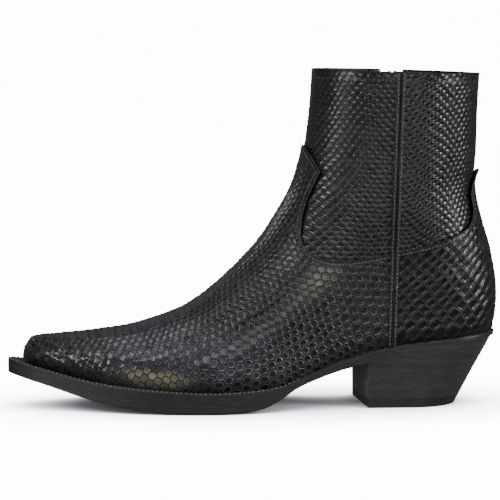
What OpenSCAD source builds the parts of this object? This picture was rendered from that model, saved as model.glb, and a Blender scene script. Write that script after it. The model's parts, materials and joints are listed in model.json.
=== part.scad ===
// Western ankle boot for the left foot, closed by a zip on the inner side.
// Frame: toe towards -X, heel towards +X, outer side towards -Y, ground at Z = 0, millimetres.

/* [Boot] */
// Length over the sole's tip and the back of the heel
boot_length = 311; // [260:1:373]
// Height of the top rim above the ground, at the front
rim_height = 212.5; // [178:0.5:255]
// How much lower the rim is at the back than at the front
rim_drop = 3; // [0:0.5:8]
// Height of the heel seat above the ground, at the back
heel_height = 47; // [39:0.5:57]
// Width of the upper at the ball of the foot
ball_width = 92; // [78:1:110]
// Width of the upper at the heel seat
heel_width = 65; // [55:1:78]
// Front-to-back size of the top opening, outside
shaft_depth = 110; // [92:1:132]
// Side-to-side size of the top opening, outside
shaft_width = 81; // [68:1:97]
// Height of the toe box above the welt
toe_box_height = 16; // [13:0.5:19]

/* [Leather] */
// Thickness of the outer leather
leather_t = 1.4; // [1.1:0.1:1.7]
// Thickness of the backing, the toe puff and the heel stiffener
backing_t = 1; // [0.8:0.1:1.2]
// Thickness of the lining
lining_t = 1; // [0.8:0.1:1.2]
// Space between two layers
layer_gap = 0.3; // [0.2:0.05:0.4]
// Width of the strip over the side seam
strip_w = 5.4; // [4.5:0.1:6.5]

/* [Sole] */
// Height of the sole's tip above the ground
toe_spring = 22; // [18:0.5:27]
// Whole thickness of the sole at the tip
tip_sole_t = 8.6; // [7.4:0.1:10.3]
// Whole thickness of the sole at the ball
ball_sole_t = 12.7; // [10.6:0.1:15.3]
// Whole thickness of the sole at the waist
waist_sole_t = 4.8; // [4.2:0.1:5.7]
// Whole thickness of the sole under the heel seat
seat_sole_t = 7; // [6:0.1:8.4]
// Thickness of the welt, the rand and the filler
welt_t = 2.4; // [2.1:0.1:2.8]
// Thickness of the outsole
outsole_t = 4.4; // [3.7:0.1:5]
// Thickness of the insole board
insole_t = 2.4; // [2:0.1:2.9]
// Thickness of the footbed
footbed_t = 1.5; // [1.2:0.1:1.8]
// How far the sole stands out beyond the upper at the toe
toe_edge = 9.2; // [7.6:0.1:11]
// How far the sole stands out beyond the upper at the ball
ball_edge = 4.6; // [3:0.2:5.6]
// How far the sole stands out beyond the upper at the waist and the heel
heel_edge = 1; // [0.6:0.1:1.4]

/* [Heel] */
// Distance from the back of the boot to the front face of the heel
heel_run = 87; // [73:1:100]
// How far the back of the heel slants forward down to the ground
heel_slant = 25; // [21:0.5:30]
// How far each side of the heel slants in down to the ground
heel_taper = 3.6; // [2.5:0.1:4.3]
// Turn of the heel's front face, seen from above, in degrees
breast_turn = 4.3; // [3:0.1:6]
// Thickness of the rubber top lift
top_lift_t = 6; // [5:0.5:7]
// Thickness of each leather lift
lift_t = 5; // [4.2:0.1:5.4]
// Number of leather lifts under the wedge
lift_count = 4; // [3:1:4]

/* [Zip] */
// Distance from the rim down to the closed zip's lower end
zip_length = 156; // [130:1:160]
// Width of the slot in the leather
zip_slot_w = 14; // [12.5:0.1:16]
// Width of each tape
zip_tape_w = 11; // [10:0.5:12]
// Thickness of each tape
zip_tape_t = 0.5; // [0.4:0.05:0.6]
// Distance between two teeth of one row
tooth_pitch = 2.9; // [2.4:0.1:3.3]
// Thickness of a tooth
tooth_t = 2.2; // [1.9:0.1:2.4]
// Length of the slider
slider_len = 11; // [10:0.5:12]
// Width of the slider
slider_w = 8.4; // [8:0.1:9]
// Length of the pull tab
pull_len = 18; // [16:0.5:20]

/* [Hidden] */

OUTER = -1;                 // the outer side of the boot, towards -Y
INNER = 1;                  // the inner side, towards +Y
RINGS = 34;                 // rings of a leather layer, from the sole to the rim
SIDE_STEPS = 16;            // points of a ring on each side
FAR = 400;                  // reach of a cutting block
eps = 0.01;

skin_black = [0.07, 0.07, 0.075];
lining_black = [0.12, 0.11, 0.11];
board_tan = [0.62, 0.5, 0.36];
cork_brown = [0.5, 0.36, 0.22];
edge_black = [0.1, 0.1, 0.11];
rubber_black = [0.06, 0.06, 0.06];
steel_grey = [0.6, 0.6, 0.62];
brass_yellow = [0.7, 0.58, 0.3];
tape_black = [0.09, 0.09, 0.1];

// ---- the depth of each layer below the outer surface ----
shaft_level = leather_t + layer_gap;
backing_level = shaft_level;
lining_level = shaft_level + leather_t + layer_gap;
wall_t = lining_level + lining_t;
foot_clearance = 0.7;

// ---- curves through a few points ----
function mix(a, b, t) = a + (b - a) * t;
function ease(t) = let (c = min(max(t, 0), 1)) c * c * (3 - 2 * c);
function row_at(rows, k, i = 0) =
    (i >= len(rows) - 2 || k < rows[i + 1][0]) ? i : row_at(rows, k, i + 1);
function slope_at(rows, i) =
    let (a = rows[max(i - 1, 0)], b = rows[min(i + 1, len(rows) - 1)]) (b[1] - a[1]) / (b[0] - a[0]);

// Value at k of a smooth curve through the [key, value] rows, straight beyond its ends
function curve(rows, k) =
    let (i = row_at(rows, k), p = rows[i], q = rows[i + 1], h = q[0] - p[0], t = (k - p[0]) / h,
         m = slope_at(rows, i), n = slope_at(rows, i + 1))
    t < 0 ? p[1] + m * h * t :
    t > 1 ? q[1] + n * h * (t - 1) :
    (2 * t^3 - 3 * t^2 + 1) * p[1] + (t^3 - 2 * t^2 + t) * h * m
        + (3 * t^2 - 2 * t^3) * q[1] + (t^3 - t^2) * h * n;
function curve_slope(rows, k) = (curve(rows, k + 0.5) - curve(rows, k - 0.5));

// Points of a smooth path through 2-D points, with n steps to each span
function path_point(p, i, t) =
    let (a = p[max(i - 1, 0)], b = p[i], c = p[i + 1], d = p[min(i + 2, len(p) - 1)])
    0.5 * (2 * b + (c - a) * t + (2 * a - 5 * b + 4 * c - d) * t^2 + (3 * b - a - 3 * c + d) * t^3);
function path(p, n) =
    [for (i = [0:len(p) - 2]) for (k = [0:n - 1]) path_point(p, i, k / n), p[len(p) - 1]];

// ---- the side view ----
sole_tip_x = -boot_length / 2;
toe_x = sole_tip_x + toe_edge;
heel_x = boot_length / 2;
ball_x = boot_length * -0.096;
rim_back_x = heel_x - 10.4;
rim_front_x = rim_back_x - shaft_depth;
rim_back_z = rim_height - rim_drop;

fore_rise = toe_spring + tip_sole_t - ball_sole_t;
aft_rise = heel_height - ball_sole_t;
// Line where the upper meets the sole: shares of the way from the ball to the tip or to the heel
fore_shape = [[1.15, 1.18], [1, 1], [0.83, 0.72], [0.62, 0.38], [0.38, 0.16]];
aft_shape = [[0, 0], [0.18, 0.04], [0.25, 0.11], [0.32, 0.26], [0.43, 0.5], [0.5, 0.62],
             [0.62, 0.775], [0.84, 0.92], [1, 1], [1.1, 1.04]];
seat_rows = concat(
    [for (p = fore_shape) [mix(ball_x, sole_tip_x, p[0]), ball_sole_t + fore_rise * p[1]]],
    [for (p = aft_shape) [mix(ball_x, heel_x, p[0]), ball_sole_t + aft_rise * p[1]]]);
function seat(x) = curve(seat_rows, x);

sole_rows = [
    [sole_tip_x, tip_sole_t], [mix(ball_x, sole_tip_x, 0.75), tip_sole_t + 0.9],
    [mix(ball_x, sole_tip_x, 0.38), ball_sole_t - 0.2], [ball_x, ball_sole_t],
    [mix(ball_x, heel_x, 0.17), ball_sole_t - 1.4],
    [mix(ball_x, heel_x, 0.235), mix(waist_sole_t, ball_sole_t, 0.4)],
    [mix(ball_x, heel_x, 0.285), waist_sole_t + 0.3], [mix(ball_x, heel_x, 0.34), waist_sole_t],
    [mix(ball_x, heel_x, 0.5), mix(waist_sole_t, seat_sole_t, 0.7)], [mix(ball_x, heel_x, 0.6), seat_sole_t],
    [heel_x, seat_sole_t]];
function sole_depth(x) = curve(sole_rows, x);
function sole_bottom(x) = seat(x) - sole_depth(x);

// Front outline, from the toe box to the rim: shares of the run and of the rise
toe_top_z = seat(toe_x) + toe_box_height;
ridge_shape = [[0.034, 0.004], [0.129, 0.027], [0.234, 0.045], [0.368, 0.067], [0.456, 0.092],
               [0.551, 0.128], [0.622, 0.174], [0.692, 0.234], [0.762, 0.303], [0.833, 0.387], [0.903, 0.501],
               [0.938, 0.573], [0.968, 0.68], [0.982, 0.77], [0.993, 0.886], [1, 1], [1.02, 1.3]];
ridge = concat(
    [[toe_x, seat(toe_x) - 12], [toe_x, seat(toe_x)], [toe_x + 0.4, mix(seat(toe_x), toe_top_z, 0.45)],
     [toe_x + 2.8, mix(seat(toe_x), toe_top_z, 0.78)]],
    [for (p = ridge_shape) [mix(toe_x, rim_front_x, p[0]), mix(toe_top_z, rim_height, p[1])]]);
// The same outline turned by 45 degrees, so that it is one curve from the toe to the rim
ridge_turned = [for (p = ridge) [p[0] + p[1], p[1] - p[0]]];
ridge_low = toe_x + seat(toe_x);
ridge_high = rim_front_x + rim_height;

// Back outline: x at each height
back_shape = [[-0.06, 4.6], [0, 2.8], [0.03, 1.8], [0.11, 0.2], [0.188, 0.4], [0.267, 2.4], [0.344, 5.2],
              [0.423, 9.2], [0.503, 12.6], [0.57, 14], [0.642, 13], [0.7, 12.2], [0.859, 11.6], [1, 10.4],
              [1.25, 8]];
back_rows = [for (p = back_shape) [mix(seat(heel_x), rim_back_z, p[0]), heel_x - p[1]]];

// ---- the width ----
nose_w = 10;                // half width of the toe box at its blunt tip
half_shaft = shaft_width / 2;
half_heel = heel_width / 2;
half_ball = ball_width / 2;
function fore_x(t) = mix(ball_x, toe_x, t);
function aft_x(t) = mix(ball_x, heel_x, t);
outer_plan = [[fore_x(1.1), nose_w - 2], [fore_x(1), nose_w], [fore_x(0.78), mix(nose_w, half_ball, 0.36)],
              [fore_x(0.55), mix(nose_w, half_ball, 0.68)], [fore_x(0.32), mix(nose_w, half_ball, 0.9)],
              [fore_x(0.1), half_ball], [aft_x(0.06), half_ball], [aft_x(0.22), mix(half_heel, half_ball, 0.72)],
              [aft_x(0.38), mix(half_heel, half_ball, 0.25)], [aft_x(0.55), half_heel], [aft_x(1), half_heel]];
inner_plan = [[fore_x(1.1), nose_w - 2], [fore_x(1), nose_w], [fore_x(0.78), mix(nose_w, half_ball, 0.37)],
              [fore_x(0.55), mix(nose_w, half_ball, 0.7)], [fore_x(0.32), mix(nose_w, half_ball, 0.92)],
              [fore_x(0.12), half_ball - 0.6], [aft_x(0.04), half_ball - 3.4],
              [aft_x(0.18), mix(half_heel, half_ball, 0.2)], [aft_x(0.34), half_heel - 1.8],
              [aft_x(0.55), half_heel], [aft_x(1), half_heel]];
function shaft_half(z) = mix(half_heel, half_shaft, (z - heel_height) / (rim_height - heel_height));
// How deep the rounding of the front reaches, along the turned outline
function turned(t) = mix(ridge_low, ridge_high, t);
front_round = [[turned(0), nose_w - 1], [turned(0.07), toe_box_height * 0.85], [turned(0.15), toe_box_height + 6],
               [turned(0.28), 34], [turned(0.43), 46], [turned(0.56), shaft_depth * 0.47],
               [turned(1), shaft_depth / 2], [turned(1.5), shaft_depth / 2]];
back_round = [[heel_height - 10, half_heel + 3], [mix(heel_height, rim_back_z, 0.2), half_heel + 8],
              [mix(heel_height, rim_back_z, 0.5), shaft_depth * 0.46], [rim_back_z, shaft_depth / 2],
              [rim_back_z + 40, shaft_depth / 2]];
tuck = 2.2;                 // how far the upper draws in where it meets the sole
tuck_h = 9;

function rounding(q) = q <= 0 ? 0 : q >= 1 ? 1 : sqrt(1 - (1 - q)^2);
function front_gap(x, z) =
    let (g = curve_slope(ridge_turned, x + z))
    (curve(ridge_turned, x + z) - (z - x)) / sqrt(2 * (1 + g * g));

// Half width of the boot at a point of the side view, at a depth below the outer surface
function half_width(x, z, side, depth) =
    let (m = ease((z - heel_height - 13) / 70),
         w = mix(curve(side == OUTER ? outer_plan : inner_plan, x), shaft_half(z), m)
             - tuck * max(0, 1 - (z - seat(x)) / tuck_h)^2,
         f = (front_gap(x, z) - depth) / (curve(front_round, x + z) - depth),
         b = (curve(back_rows, z) - x - depth) / (curve(back_round, z) - depth))
    (w - depth) * rounding(f) * rounding(b);

// ---- a layer of the upper: closed rings from the sole's line to the rim ----
function front_point(s, depth) =
    let (a = mix(ridge_low, ridge_high, s^1.35), b = curve(ridge_turned, a), g = curve_slope(ridge_turned, a),
         n = sqrt(2 * (1 + g * g)))
    [(a - b) / 2 + depth * (1 + g) / n, (a + b) / 2 - depth * (1 - g) / n * (s < 1 ? 1 : 0)];
function back_point(s, depth) =
    let (z = mix(seat(heel_x), rim_back_z, s)) [curve(back_rows, z) - depth, z];
function ring_point(s, f, side, depth) =
    let (p = front_point(s, depth), q = back_point(s, depth), x = mix(p[0], q[0], f),
         z = mix(p[1], q[1], f) + (1 - s)^1.2 * (seat(x) - mix(seat(toe_x), seat(heel_x), f)))
    [x, side * (f <= 0 || f >= 1 ? 0 : max(half_width(x, z, side, depth), 0.05)), z];
function ring(s, depth) = [for (j = [0:2 * SIDE_STEPS - 1])
    let (k = j <= SIDE_STEPS ? j : 2 * SIDE_STEPS - j, side = j <= SIDE_STEPS ? OUTER : INNER)
    ring_point(s, (1 - cos(180 * k / SIDE_STEPS)) / 2, side, depth)];

// Closed solid between two depths below the outer surface
module layer(near, thick) {
    n = 2 * SIDE_STEPS;
    inside = n * (RINGS + 1);
    points = [for (d = [near, near + thick]) for (i = [0:RINGS]) each ring(i / RINGS, d)];
    function wall(a, b, c, d) = [[a, b, c], [a, c, d]];
    faces = [for (j = [0:n - 1]) let (k = (j + 1) % n) each concat(
        wall(j, k, inside + k, inside + j),
        wall(inside - n + k, inside - n + j, 2 * inside - n + j, 2 * inside - n + k),
        [for (i = [0:RINGS - 1]) each concat(
            wall(i * n + j, (i + 1) * n + j, (i + 1) * n + k, i * n + k),
            wall(inside + i * n + j, inside + i * n + k, inside + (i + 1) * n + k, inside + (i + 1) * n + j))])];
    polyhedron(points, faces, convexity = 10);
}

// ---- cutting blocks drawn in the side view ----
module side_block(side = 0) {
    rotate([90, 0, 0]) translate([0, 0, side == OUTER ? 0 : -FAR])
        linear_extrude(side == 0 ? 2 * FAR : FAR) children();
}

// Top line of the vamp and the heel counter: shares of the shaft's depth and height
function on_shaft(p) = [mix(rim_front_x, rim_back_x, p[0]), mix(heel_height, rim_height, p[1])];
scallop_line = path([for (p = [[0.048, 0.617], [-0.035, 0.49], [-0.066, 0.38], [-0.025, 0.32], [0.09, 0.288],
                               [0.23, 0.288], [0.44, 0.312], [0.7, 0.35], [0.87, 0.395], [0.925, 0.45],
                               [0.915, 0.535], [0.96, 0.605], [1.09, 0.7]]) on_shaft(p)], 4);
tongue_tip = on_shaft([-0.16, 0.87]);

// The areas above and below the line, which a rise moves up, or a negative one down and outwards
function raised(p, rise) = p + rise * [0.7 - 1.4 * ease((p[0] - rim_front_x) / shaft_depth), 1];
function raised_line(rise) =
    concat([[-FAR, FAR]], [for (p = concat([tongue_tip], scallop_line)) raised(p, rise)]);
module above_line(rise = 0) { polygon(concat(raised_line(rise), [[FAR, FAR]])); }
module below_line(rise = 0) { polygon(concat(raised_line(rise), [[FAR, -FAR], [-2 * FAR, -FAR]])); }

// Side seam: a straight line from the rim to the sole, with the front half before it
seam_top_x = mix(rim_front_x, rim_back_x, 0.49);
seam_low_x = seam_top_x - 4;
function seam_x(z) = mix(seam_low_x, seam_top_x, (z - heel_height) / (rim_height - heel_height));
zip_x = seam_top_x + 3.4;
// The boot before, or behind, the side seam on the outer side and the zip's middle on the inner side
module before_seam(shift = 0) { seam_block(shift, -FAR); }
module behind_seam(shift = 0) { seam_block(shift, FAR); }
module seam_block(shift, reach) {
    side_block(OUTER)
        polygon([[reach, -FAR], [seam_x(-FAR) + shift, -FAR], [seam_x(FAR) + shift, FAR], [reach, FAR]]);
    side_block(INNER)
        polygon([[reach, -FAR], [zip_x + shift, -FAR], [zip_x + shift, FAR], [reach, FAR]]);
}

// ---- the zip's line on the inner side ----
zip_top_z = mix(rim_height, rim_back_z, (zip_x - rim_front_x) / shaft_depth) - 3;
zip_low_z = zip_top_z - zip_length;
zip_wall = shaft_level + leather_t + 0.3;
chain_half = 2.8;           // half width of the closed chain
tape_reach = chain_half + 0.05 + zip_tape_w;
zip_heights = [for (i = [0:12]) mix(zip_low_z + 4, zip_top_z, i / 12)];
// Height of the wall's inside over the X axis, and the straight line the chain follows
function wall_y(z, x) =
    min([for (s = [-1, 1]) half_width(zip_x + s * x, z, INNER, zip_wall)]) - zip_tape_t / 2;
zip_tilt = atan((wall_y(zip_top_z, chain_half) - wall_y(zip_heights[0], chain_half)) / (zip_top_z - zip_heights[0]));
function zip_line(z) = wall_y(zip_top_z, chain_half) - (zip_top_z - z) * tan(zip_tilt);
zip_y = zip_line(zip_top_z) + min([for (z = zip_heights) wall_y(z, chain_half) - zip_line(z)]);
// The tapes turn inwards to stay behind the curved wall
tape_turn = asin(max([for (z = zip_heights) zip_line(z) - wall_y(z, tape_reach)]) / zip_tape_w);
// Places a piece drawn with the chain along -Z from the origin and the outside towards +Y
module on_zip() { translate([zip_x, zip_y, zip_top_z]) rotate([-zip_tilt, 0, 0]) children(); }
module zip_slot(width, foot) {
    side_block(INNER) {
        translate([zip_x - width / 2, zip_low_z - foot]) square([width, FAR]);
        translate([zip_x, zip_low_z - foot]) circle(d = width, $fn = 32);
    }
}

// ---- the upper ----
lap = 9;                    // how far the shaft runs on under the vamp and the heel counter
joint = 0.05;               // half the gap between two pieces that meet edge to edge
strip_t = 0.9;
backing_edge = -lap - 0.3;  // the backing's top edge, below the shaft's
lining_edge = -lap - 3;     // the line where the foot's lining meets the shaft's
puff_end_x = fore_x(0.62);
hidden_slot_w = 2 * tape_reach + 1.5;

// One layer less its children. A thin leather piece keeps its facets: it is taken as one mesh.
module cut_layer(near, thick) {
    resize([0, 0, 0]) difference() {
        layer(near, thick);
        children();
    }
}

module vamp() {
    color(skin_black) cut_layer(0, leather_t) {
        side_block() above_line();
        behind_seam(-joint);
        zip_slot(zip_slot_w, 0);
    }
}
module heel_counter() {
    color(skin_black) cut_layer(0, leather_t) {
        side_block() above_line();
        before_seam(joint);
        zip_slot(zip_slot_w, 0);
    }
}
module shaft_front() {
    color(skin_black) cut_layer(shaft_level, leather_t) {
        side_block() below_line(-lap);
        behind_seam(-joint);
        zip_slot(zip_slot_w, 0);
    }
}
module shaft_back() {
    color(skin_black) cut_layer(shaft_level, leather_t) {
        side_block() below_line(-lap);
        before_seam(joint);
        zip_slot(zip_slot_w, 0);
    }
}
// The strip over the outer seam: a low part on the vamp and the counter, a high part on the shaft
module side_strip() {
    color(skin_black) {
        cut_layer(-strip_t - 0.1, strip_t) {
            off_strip(OUTER);
            side_block() above_line();
        }
        cut_layer(shaft_level - strip_t - 0.1, strip_t) {
            off_strip(OUTER);
            side_block() below_line(1);
        }
    }
}
module off_strip(side) {
    before_seam(-strip_w / 2);
    behind_seam(strip_w / 2);
    side_block(-side) square(2 * FAR, center = true);
}
module zip_end_strip() {
    color(skin_black) cut_layer(-strip_t - 0.1, strip_t) {
        off_strip(INNER);
        side_block() translate([-FAR, zip_low_z - zip_slot_w / 2 - 1]) square(2 * FAR);
    }
}
module toe_puff() {
    color(board_tan) cut_layer(backing_level, backing_t)
        side_block() translate([puff_end_x, -FAR]) square(2 * FAR);
}
module vamp_backing() {
    color(lining_black) cut_layer(backing_level, backing_t) {
        side_block() translate([puff_end_x + joint - FAR, -FAR]) square([FAR, 2 * FAR]);
        side_block() above_line(backing_edge);
        behind_seam(-joint - 4);
        zip_slot(hidden_slot_w, 3);
    }
}
module heel_stiffener() {
    color(board_tan) cut_layer(backing_level, backing_t) {
        side_block() above_line(backing_edge);
        before_seam(joint + 4);
        zip_slot(hidden_slot_w, 3);
    }
}
module vamp_lining() {
    color(lining_black) cut_layer(lining_level, lining_t) {
        side_block() above_line(lining_edge);
        behind_seam(-joint);
        zip_slot(hidden_slot_w, 3);
    }
}
module heel_grip() {
    color(lining_black) cut_layer(lining_level, lining_t) {
        side_block() above_line(lining_edge);
        before_seam(joint);
        zip_slot(hidden_slot_w, 3);
    }
}
module shaft_lining() {
    color(lining_black) cut_layer(lining_level, lining_t) {
        side_block() below_line(lining_edge + 0.2);
        zip_slot(hidden_slot_w, 3);
    }
}

// ---- the sole: plan outlines, cut to bands of the side view ----
PLAN_STEPS = 26;
edge_rows = [[sole_tip_x, toe_edge], [fore_x(0.8), mix(toe_edge, ball_edge, 0.8)], [fore_x(0.3), ball_edge],
             [aft_x(0.1), ball_edge], [aft_x(0.32), heel_edge + 0.8], [aft_x(0.5), heel_edge],
             [heel_x, heel_edge]];
// Outline at a depth inside the upper, or where depth is undef at the sole's own edge
function plan_half(x, side, depth) =
    let (z = max(seat(x), x < toe_x ? seat(toe_x) : 0) + 0.5)
    half_width(x, z, side, is_undef(depth) ? -curve(edge_rows, x) : depth);
function plan(depth) =
    let (x0 = toe_x + (is_undef(depth) ? -toe_edge : depth),
         x1 = curve(back_rows, seat(heel_x)) + (is_undef(depth) ? heel_edge : -depth))
    [for (j = [0:2 * PLAN_STEPS - 1])
        let (k = j <= PLAN_STEPS ? j : 2 * PLAN_STEPS - j, side = j <= PLAN_STEPS ? OUTER : INNER,
             x = mix(x0, x1, (1 - cos(180 * k / PLAN_STEPS)) / 2))
        [x, side * (k == 0 || k == PLAN_STEPS ? 0 : max(plan_half(x, side, depth), 0.05))]];
module plan_block(depth) { translate([0, 0, -5]) linear_extrude(rim_height) polygon(plan(depth)); }

// Band of the side view between two lines that follow the sole
BAND_STEPS = 64;
band_x = [for (i = [0:BAND_STEPS]) mix(sole_tip_x - 5, boot_length / 2 + 5, i / BAND_STEPS)];
seat_gap = 0.4;             // glue line between the upper and the welt
function low_of(part, x) =
    part == "welt" ? seat(x) - welt_t :
    part == "midsole" ? seat(x) - max(sole_depth(x) - outsole_t, welt_t) :
    part == "outsole" ? sole_bottom(x) :
    part == "insole" ? seat(x) :
    part == "footbed" ? seat(x) + insole_t :
    seat(x) - welt_t / 2 - shank_t / 2;
function high_of(part, x) =
    part == "welt" ? seat(x) - seat_gap :
    part == "midsole" ? seat(x) - welt_t :
    part == "outsole" ? seat(x) - max(sole_depth(x) - outsole_t, welt_t) :
    part == "insole" ? seat(x) + insole_t :
    part == "footbed" ? seat(x) + insole_t + footbed_t :
    seat(x) - welt_t / 2 + shank_t / 2;
module band(part, x0 = -FAR, x1 = FAR, grow = 0) {
    side_block() intersection() {
        polygon(concat(
            [for (x = band_x) [x, low_of(part, x) - grow]],
            [for (i = [BAND_STEPS:-1:0]) [band_x[i], high_of(part, band_x[i]) + grow]]));
        translate([x0, -FAR]) square([x1 - x0, 2 * FAR]);
    }
}

breast_x = heel_x - heel_run;
welt_end_x = breast_x - 8;
// The midsole ends where the sole has thinned to the welt and the outsole
midsole_end_x = [for (i = [0:200]) let (x = mix(ball_x, heel_x, i / 200))
    if (sole_depth(x) < welt_t + outsole_t + 0.5) x][0];
shank_t = 1.4;
shank_w = 14;
shank_from = aft_x(0.12);
shank_to = aft_x(0.72);
inside_welt = wall_t + 1.8;
shank_clearance = 0.1;

module welt() {
    color(edge_black) difference() {
        intersection() {
            plan_block();
            band("welt", x1 = welt_end_x);
        }
        plan_block(inside_welt);
    }
}
module heel_rand() {
    color(edge_black) difference() {
        intersection() {
            plan_block();
            band("welt", x0 = welt_end_x + 2 * joint);
        }
        plan_block(inside_welt);
    }
}
module cork_filler() {
    color(cork_brown) difference() {
        intersection() {
            plan_block(inside_welt + 0.1);
            band("welt");
        }
        intersection() {
            band("shank", x0 = shank_from - shank_clearance, x1 = shank_to + shank_clearance,
                 grow = shank_clearance);
            translate([-FAR, -shank_w / 2 - shank_clearance, 0])
                cube([2 * FAR, shank_w + 2 * shank_clearance, FAR]);
        }
        heel_nail_holes();
    }
}
module shank() {
    color(steel_grey) intersection() {
        band("shank", x0 = shank_from, x1 = shank_to);
        translate([-FAR, -shank_w / 2, 0]) cube([2 * FAR, shank_w, FAR]);
    }
}
module midsole() {
    color(edge_black) intersection() {
        plan_block();
        band("midsole", x1 = midsole_end_x);
    }
}
module outsole() {
    color(edge_black) difference() {
        intersection() {
            band("outsole");
            union() {
                difference() {
                    plan_block();
                    translate([breast_x + 4, -FAR, -FAR]) cube(2 * FAR);
                }
                heel_slab(heel_height - 2 * seat_sole_t, heel_height + 4);
            }
        }
        heel_nail_holes();
    }
}
module insole_board() {
    color(board_tan) difference() {
        intersection() {
            plan_block(wall_t + foot_clearance);
            band("insole");
        }
        heel_nail_holes();
    }
}
module footbed() {
    color(lining_black) intersection() {
        plan_block(wall_t + foot_clearance + 0.2);
        band("footbed");
    }
}

// ---- the heel ----
HEEL_STEPS = 12;
seat_back_x = curve(back_rows, seat(heel_x)) + heel_edge;
seat_half = half_heel - tuck + heel_edge;
function heel_outline(z) =
    let (t = z / heel_height, back = seat_back_x - heel_slant * (1 - t),
         half = seat_half - heel_taper * (1 - t), lean = tan(breast_turn) * half, reach = half + 2)
    concat(
        [for (k = [0:HEEL_STEPS]) let (x = mix(breast_x + lean, back, sin(90 * k / HEEL_STEPS)))
            [x, OUTER * half * (k == HEEL_STEPS ? 0 : rounding((back - x) / reach))]],
        [for (k = [HEEL_STEPS - 1:-1:0]) let (x = mix(breast_x - lean, back, sin(90 * k / HEEL_STEPS)))
            [x, INNER * half * rounding((back - x) / reach)]]);
module heel_slab(z0, z1) {
    hull() {
        translate([0, 0, z0]) linear_extrude(eps) polygon(heel_outline(z0));
        translate([0, 0, z1 - eps]) linear_extrude(eps) polygon(heel_outline(z1));
    }
}

nail_r = 1.2;
nail_clearance = 0.05;
nail_reach = insole_t;
nail_low_z = top_lift_t + 2;
heel_mid_x = breast_x + heel_run * 0.42;
heel_nail_spots = [for (s = [-1, 1]) for (x = [-13, 0, 13]) [heel_mid_x + x - 4, s * (shank_w / 2 + 4.5)]];
module heel_nail_holes() {
    for (p = heel_nail_spots)
        translate([p[0], p[1], nail_low_z - nail_clearance])
            cylinder(r = nail_r + nail_clearance, h = FAR, $fn = 24);
}
module heel_nails() {
    color(steel_grey) for (p = heel_nail_spots)
        translate([p[0], p[1], nail_low_z])
            cylinder(r = nail_r, h = seat(p[0]) + nail_reach - 0.3 - nail_low_z, $fn = 24);
}
tack_r = 0.9;
tack_len = top_lift_t + 3;
ground_back_x = seat_back_x - heel_slant;
ground_half = seat_half - heel_taper;
tack_inset = 6;
tack_spots = concat(
    [for (a = [-80:32:80]) [ground_back_x - ground_half + (ground_half - tack_inset) * cos(a),
                            (ground_half - tack_inset) * sin(a)]],
    [for (s = [-1, 0, 1]) [breast_x + tack_inset + 2, s * (ground_half - tack_inset - 1)]]);
module tack_holes() {
    for (p = tack_spots)
        translate([p[0], p[1], -1])
            cylinder(r = tack_r + nail_clearance, h = tack_len + 1 + nail_clearance, $fn = 24);
}
module top_lift_nails() {
    color(brass_yellow) for (p = tack_spots)
        translate([p[0], p[1], 0.1]) cylinder(r = tack_r, h = tack_len - 0.1, $fn = 24);
}
module top_lift() {
    color(rubber_black) difference() {
        heel_slab(0, top_lift_t);
        tack_holes();
    }
}
module heel_lift(i) {
    z = top_lift_t + lift_t * (i - 1);
    color(edge_black) difference() {
        heel_slab(z, z + lift_t);
        if (i == 1) tack_holes();
        heel_nail_holes();
    }
}
module heel_wedge() {
    z = top_lift_t + lift_t * lift_count;
    color(edge_black) difference() {
        intersection() {
            heel_slab(z, heel_height + 2);
            side_block() polygon(concat(
                [[band_x[0], -FAR]],
                [for (x = band_x) [x, sole_bottom(x)]],
                [[band_x[BAND_STEPS], -FAR]]));
        }
        heel_nail_holes();
    }
}

// ---- the zip ----
tooth_bite = 0.9;           // how far a tooth reaches past the middle
tooth_gap = 0.08;           // play between a tooth and its neighbours
chain_top = -7.4;           // the highest tooth, inside the slider
stop_h = 3.6;
stop_z = 3.5 - zip_length;  // foot of the bottom stop
tooth_rows = floor((chain_top - stop_z - stop_h) / tooth_pitch - 0.7);
// One row of teeth on its cord, reaching towards +X
module tooth_row(shift) {
    tooth_h = tooth_pitch / 2 - tooth_gap;
    low = chain_top - tooth_pitch * tooth_rows - shift;
    cord = -tooth_bite - 0.3;
    comb = concat(
        [[-chain_half, chain_top], [-chain_half, low]],
        [for (i = [tooth_rows - 1:-1:0]) let (z = chain_top - tooth_pitch * (i + 0.5) - shift) each
            [[cord, z - tooth_h / 2], [tooth_bite, z - tooth_h / 2],
             [tooth_bite, z + tooth_h / 2], [cord, z + tooth_h / 2]]],
        [[cord, chain_top]]);
    rotate([90, 0, 0]) translate([0, 0, -tooth_t / 2]) linear_extrude(tooth_t) polygon(comb);
}
module zip_teeth_front() { color(steel_grey) on_zip() tooth_row(0); }
module zip_teeth_back() { color(steel_grey) on_zip() mirror([1, 0, 0]) tooth_row(tooth_pitch / 2); }
tape_rise = 1.5;
module zip_tape() {
    translate([zip_tape_w - tape_reach, 0, 0]) rotate([0, 0, tape_turn])
        translate([-zip_tape_w, -zip_tape_t / 2, -zip_length - 4])
            cube([zip_tape_w, zip_tape_t, zip_length + 4 + tape_rise]);
}
module zip_tape_front() { color(tape_black) on_zip() zip_tape(); }
module zip_tape_back() { color(tape_black) on_zip() mirror([1, 0, 0]) zip_tape(); }
module zip_top_stops() {
    color(steel_grey) on_zip()
        for (s = [-1, 1])
            translate([s * (chain_half - 0.95) - 0.9, -tooth_t / 2, -0.4]) cube([1.8, tooth_t, 2.4]);
}
module zip_bottom_stop() {
    color(steel_grey) on_zip()
        translate([-chain_half, -tooth_t / 2 - 0.3, stop_z]) cube([2 * chain_half, tooth_t + 0.6, stop_h]);
}
guard_t = 1;
guard_w = 2 * tape_reach + 3;
guard_gap = 3.1;            // from the chain's middle to the guard
module zip_guard() {
    color(lining_black) on_zip()
        translate([-guard_w / 2, -guard_gap - guard_t, -zip_length + 1])
            cube([guard_w, guard_t, zip_length - 2]);
}

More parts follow.
